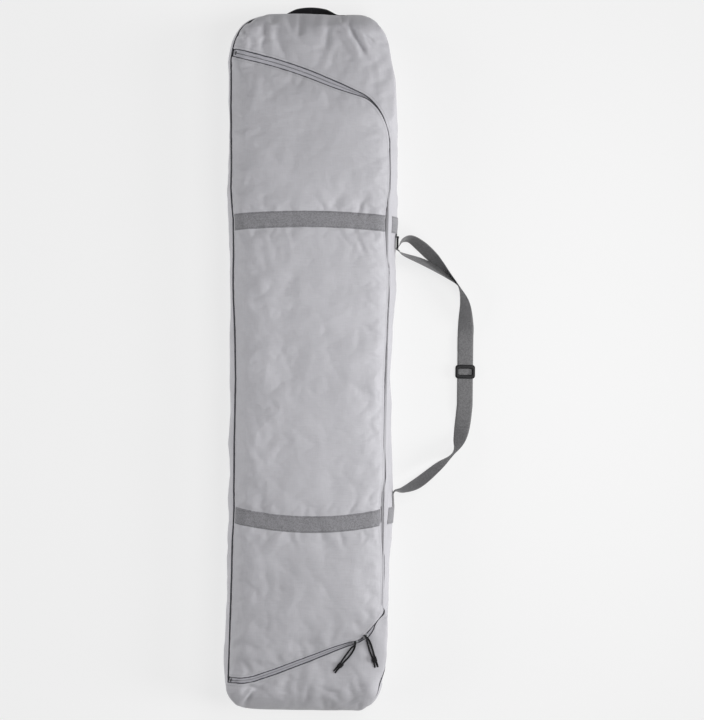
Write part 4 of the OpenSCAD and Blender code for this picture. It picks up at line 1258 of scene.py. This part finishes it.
# ---- pull cords ----
def build_pull(side, way, place, away, route, back):
    """A loop of cord through the slider's bridge, tied with a knot."""
    bridge = [(0, b, c) for b, c in arc(0, 3.4, 2.5, range(-90, -271, -45))]
    line = np.array([
        (place[0] + a * way[0] + b * away[0], place[1] + a * way[1] + b * away[1], DEPTH + c)
        for a, b, c in route + bridge + back
    ])
    radius = 2.0
    path = resample(smooth_curve(line, 12), 1.1)
    cord = tube(side + "_pull_braid", path, radius, CORD, sides=12)
    knot = build_knot(side + "_pull_knot_end", (line[2] + line[-3]) / 2, line[1] - line[4])
    dress(cord, side + "_pull", "pull_cord", side + "_pull_cord")
    dress(knot, side + "_pull", "pull_cord", side + "_pull_knot")
    float(length_along(path)[-1]) * MM


def build_knot(name, middle, strands):
    """An overhand knot: a short fat turn of cord round the two strands."""
    turns, half_long, half_wide, half_high, height, radius = 2.6, 4.6, 3.9, 2.9, 4.6, 2.1
    d = unit(strands * (1, 1, 0))
    a = np.array([-d[1], d[0], 0])
    w = np.linspace(0, TURN * turns, 90)[:, None]
    along = np.linspace(-half_long, half_long, 90)[:, None] * d
    centre = np.array([middle[0], middle[1], DEPTH + height])
    path = centre + along + half_wide * np.cos(w) * a + half_high * np.sin(w) * np.array([0, 0, 1.0])
    return tube(name, path, radius, CORD)


# Each slider's way along the zip and its place, then the cord's two strands: along that way, beside it and height
LEFT_WAY, RIGHT_WAY = (-0.9405, -0.3398), (0.7071, 0.7071)
LEFT_PLACE, RIGHT_PLACE = (113.36, -654.93), (137.25, -639.75)
LEFT_ROUTE = [
    (67, 50.5, 2.2), (58.5, 45, 2.2), (49, 39.8, 2.3), (40, 34.2, 2.2), (24, 26, 2.2), (9, 14.6, 2.0), (2, 5.4, 1.6),
]
LEFT_BACK = [
    (2.4, 4.4, 5.4), (12, 8.2, 3.4), (27, 18, 2.2), (42.5, 28.8, 2.2), (51.5, 36, 2.3), (60.5, 40.6, 2.2),
    (68.5, 45.2, 2.2),
]
RIGHT_ROUTE = [
    (-29.5, 71, -2), (-25.6, 64, -0.4), (-21, 54.4, 2), (-15, 43, 2.2), (-7.4, 29, 2.2), (-1, 14, 2.0), (0, 5.4, 1.6),
]
RIGHT_BACK = [
    (0, 4.4, 5.4), (-6, 11.6, 3.4), (-14.6, 27, 2.2), (-21.2, 41, 2.2), (-25, 52.2, 2.2), (-29.8, 60, 1.4),
    (-35, 67, 0),
]


# ---- haul handle ----
def build_handle():
    """Two halves of one webbing: sewn flat at its outer end, bowed out and tipped at the middle."""
    seat, bow, z, shift = END_Y + GAP + 1, 12.0, FABRIC + (END_Z - FABRIC) / 2, -8
    free, end, half_wide, thick = 59, 87, 12.5, 2.0
    r = (free ** 2 + bow ** 2) / (2 * bow)
    x = np.linspace(0, end, 60)
    y = np.where(x < free, seat + bow - r + np.sqrt(np.maximum(r ** 2 - x ** 2, 0)), seat)
    y = np.convolve(np.pad(y, 3, mode="edge"), np.ones(7) / 7, "valid")
    tip = 0.5 * rise(66 - x, 30)
    for side, name in ((-1, "left"), (1, "right")):
        p = cols(side * x + shift, y, z)[::side]
        up = cols(0, np.sin(tip), np.cos(tip))[::side]
        o = strip(f"haul_handle_{name}", p, up, half_wide, thick, HANDLE_CLOTH, run=p[:, 0])
        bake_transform(o)
        if side < 0:
            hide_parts("handle_ends", "handle_flex", "haul_handle")


# ---- build ----
SETTLED = settle()
build_pull("left", LEFT_WAY, LEFT_PLACE, (-LEFT_WAY[1], LEFT_WAY[0]), LEFT_ROUTE, LEFT_BACK)
build_pull("right", RIGHT_WAY, RIGHT_PLACE, (RIGHT_WAY[1], -RIGHT_WAY[0]), RIGHT_ROUTE, RIGHT_BACK)
build_lid()
for top in (True, False):
    build_end(top)
build_gussets()
build_back()
build_binding()
build_piping()
for name, body, side in (("lid_zip", "lid", 1), ("fixed_zip", "bag", -1)):
    build_tape(name + "_tape", body, side)
    build_coil(name + "_coil", body, side)
build_facing()
build_lid_band("lid_upper_band", UPPER_BAND)
build_lid_band("lid_lower_band", LOWER_BAND)
gusset_strip("upper_side_band", 307, 345, 3, 88.6, BAND_CLOTH, "band_webbing")
gusset_strip("lower_side_band", -379, -341, 3, 88.6, BAND_CLOTH, "band_webbing")
gusset_strip("strap_anchor", -340.7, -309.7, 27, 65, STRAP_CLOTH, "strap_webbing")
build_strap()
build_small_webbing()
build_adjuster()
build_handle()
build_stops()
for node, mat in (("strap_ring", BLACK), ("left_slider", METAL), ("right_slider", METAL)):
    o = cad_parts[node]
    o.data.materials.clear()
    o.data.materials.append(mat)

# ---- floor and light ----
FLOOR_GREY, FLOOR_GLOW, ROOM_GLOW, WALLS = 0.15, 0.74, 0.08, 0.84


def grey(k):
    return (k, k, k)


bpy.ops.mesh.primitive_plane_add(size=160)
floor = bpy.context.object
floor.name = "floor"
pale = material("pale_floor", grey(FLOOR_GREY), 0.9)
lit = Nodes(pale)
lit.shader.inputs["Emission Color"].default_value = (1, 1, 1, 1)
lit.shader.inputs["Emission Strength"].default_value = FLOOR_GLOW
lit.out("Base Color", lit.mix(lit.noise(lit.place(), 3.0), grey(0.98 * FLOOR_GREY), grey(1.02 * FLOOR_GREY)))
floor.data.materials.append(pale)

# The room itself is dim, and its far walls are seen pale above the floor
world = bpy.data.worlds.new("studio")
bpy.context.scene.world = world
world.use_nodes = True
room = world.node_tree
dim, walls = room.nodes["Background"], room.nodes.new("ShaderNodeBackground")
dim.inputs["Color"].default_value = (1, 1, 1, 1)
dim.inputs["Strength"].default_value = ROOM_GLOW
walls.inputs["Color"].default_value = (*grey(WALLS), 1)
path, either = room.nodes.new("ShaderNodeLightPath"), room.nodes.new("ShaderNodeMixShader")
room.links.new(path.outputs["Is Camera Ray"], either.inputs[0])
room.links.new(dim.outputs[0], either.inputs[1])
room.links.new(walls.outputs[0], either.inputs[2])
room.links.new(either.outputs[0], room.nodes["World Output"].inputs["Surface"])
bpy.context.scene.view_settings.view_transform = "Standard"


def lamp(name, kind, energy):
    light = bpy.data.lights.new(name, kind)
    light.energy = energy
    o = bpy.data.objects.new(name, light)
    bpy.context.scene.collection.objects.link(o)
    return o


for name, way, energy, angle in (("key", (-0.94, 0.05, -0.34), 2.4, 22), ("fill", (0.97, 0.0, -0.22), 2.05, 40)):
    sun = lamp(name, "SUN", energy)
    sun.data.angle = math.radians(angle)
    sun.rotation_euler = Vector(way).to_track_quat("-Z", "Y").to_euler()
softbox = lamp("softbox", "AREA", 14.6)
softbox.data.shape, softbox.data.size, softbox.data.size_y = "RECTANGLE", 0.7, 1.4
softbox.location = (0.7, 0, 1.3)
softbox.rotation_euler = (0, math.radians(30.3), 0)
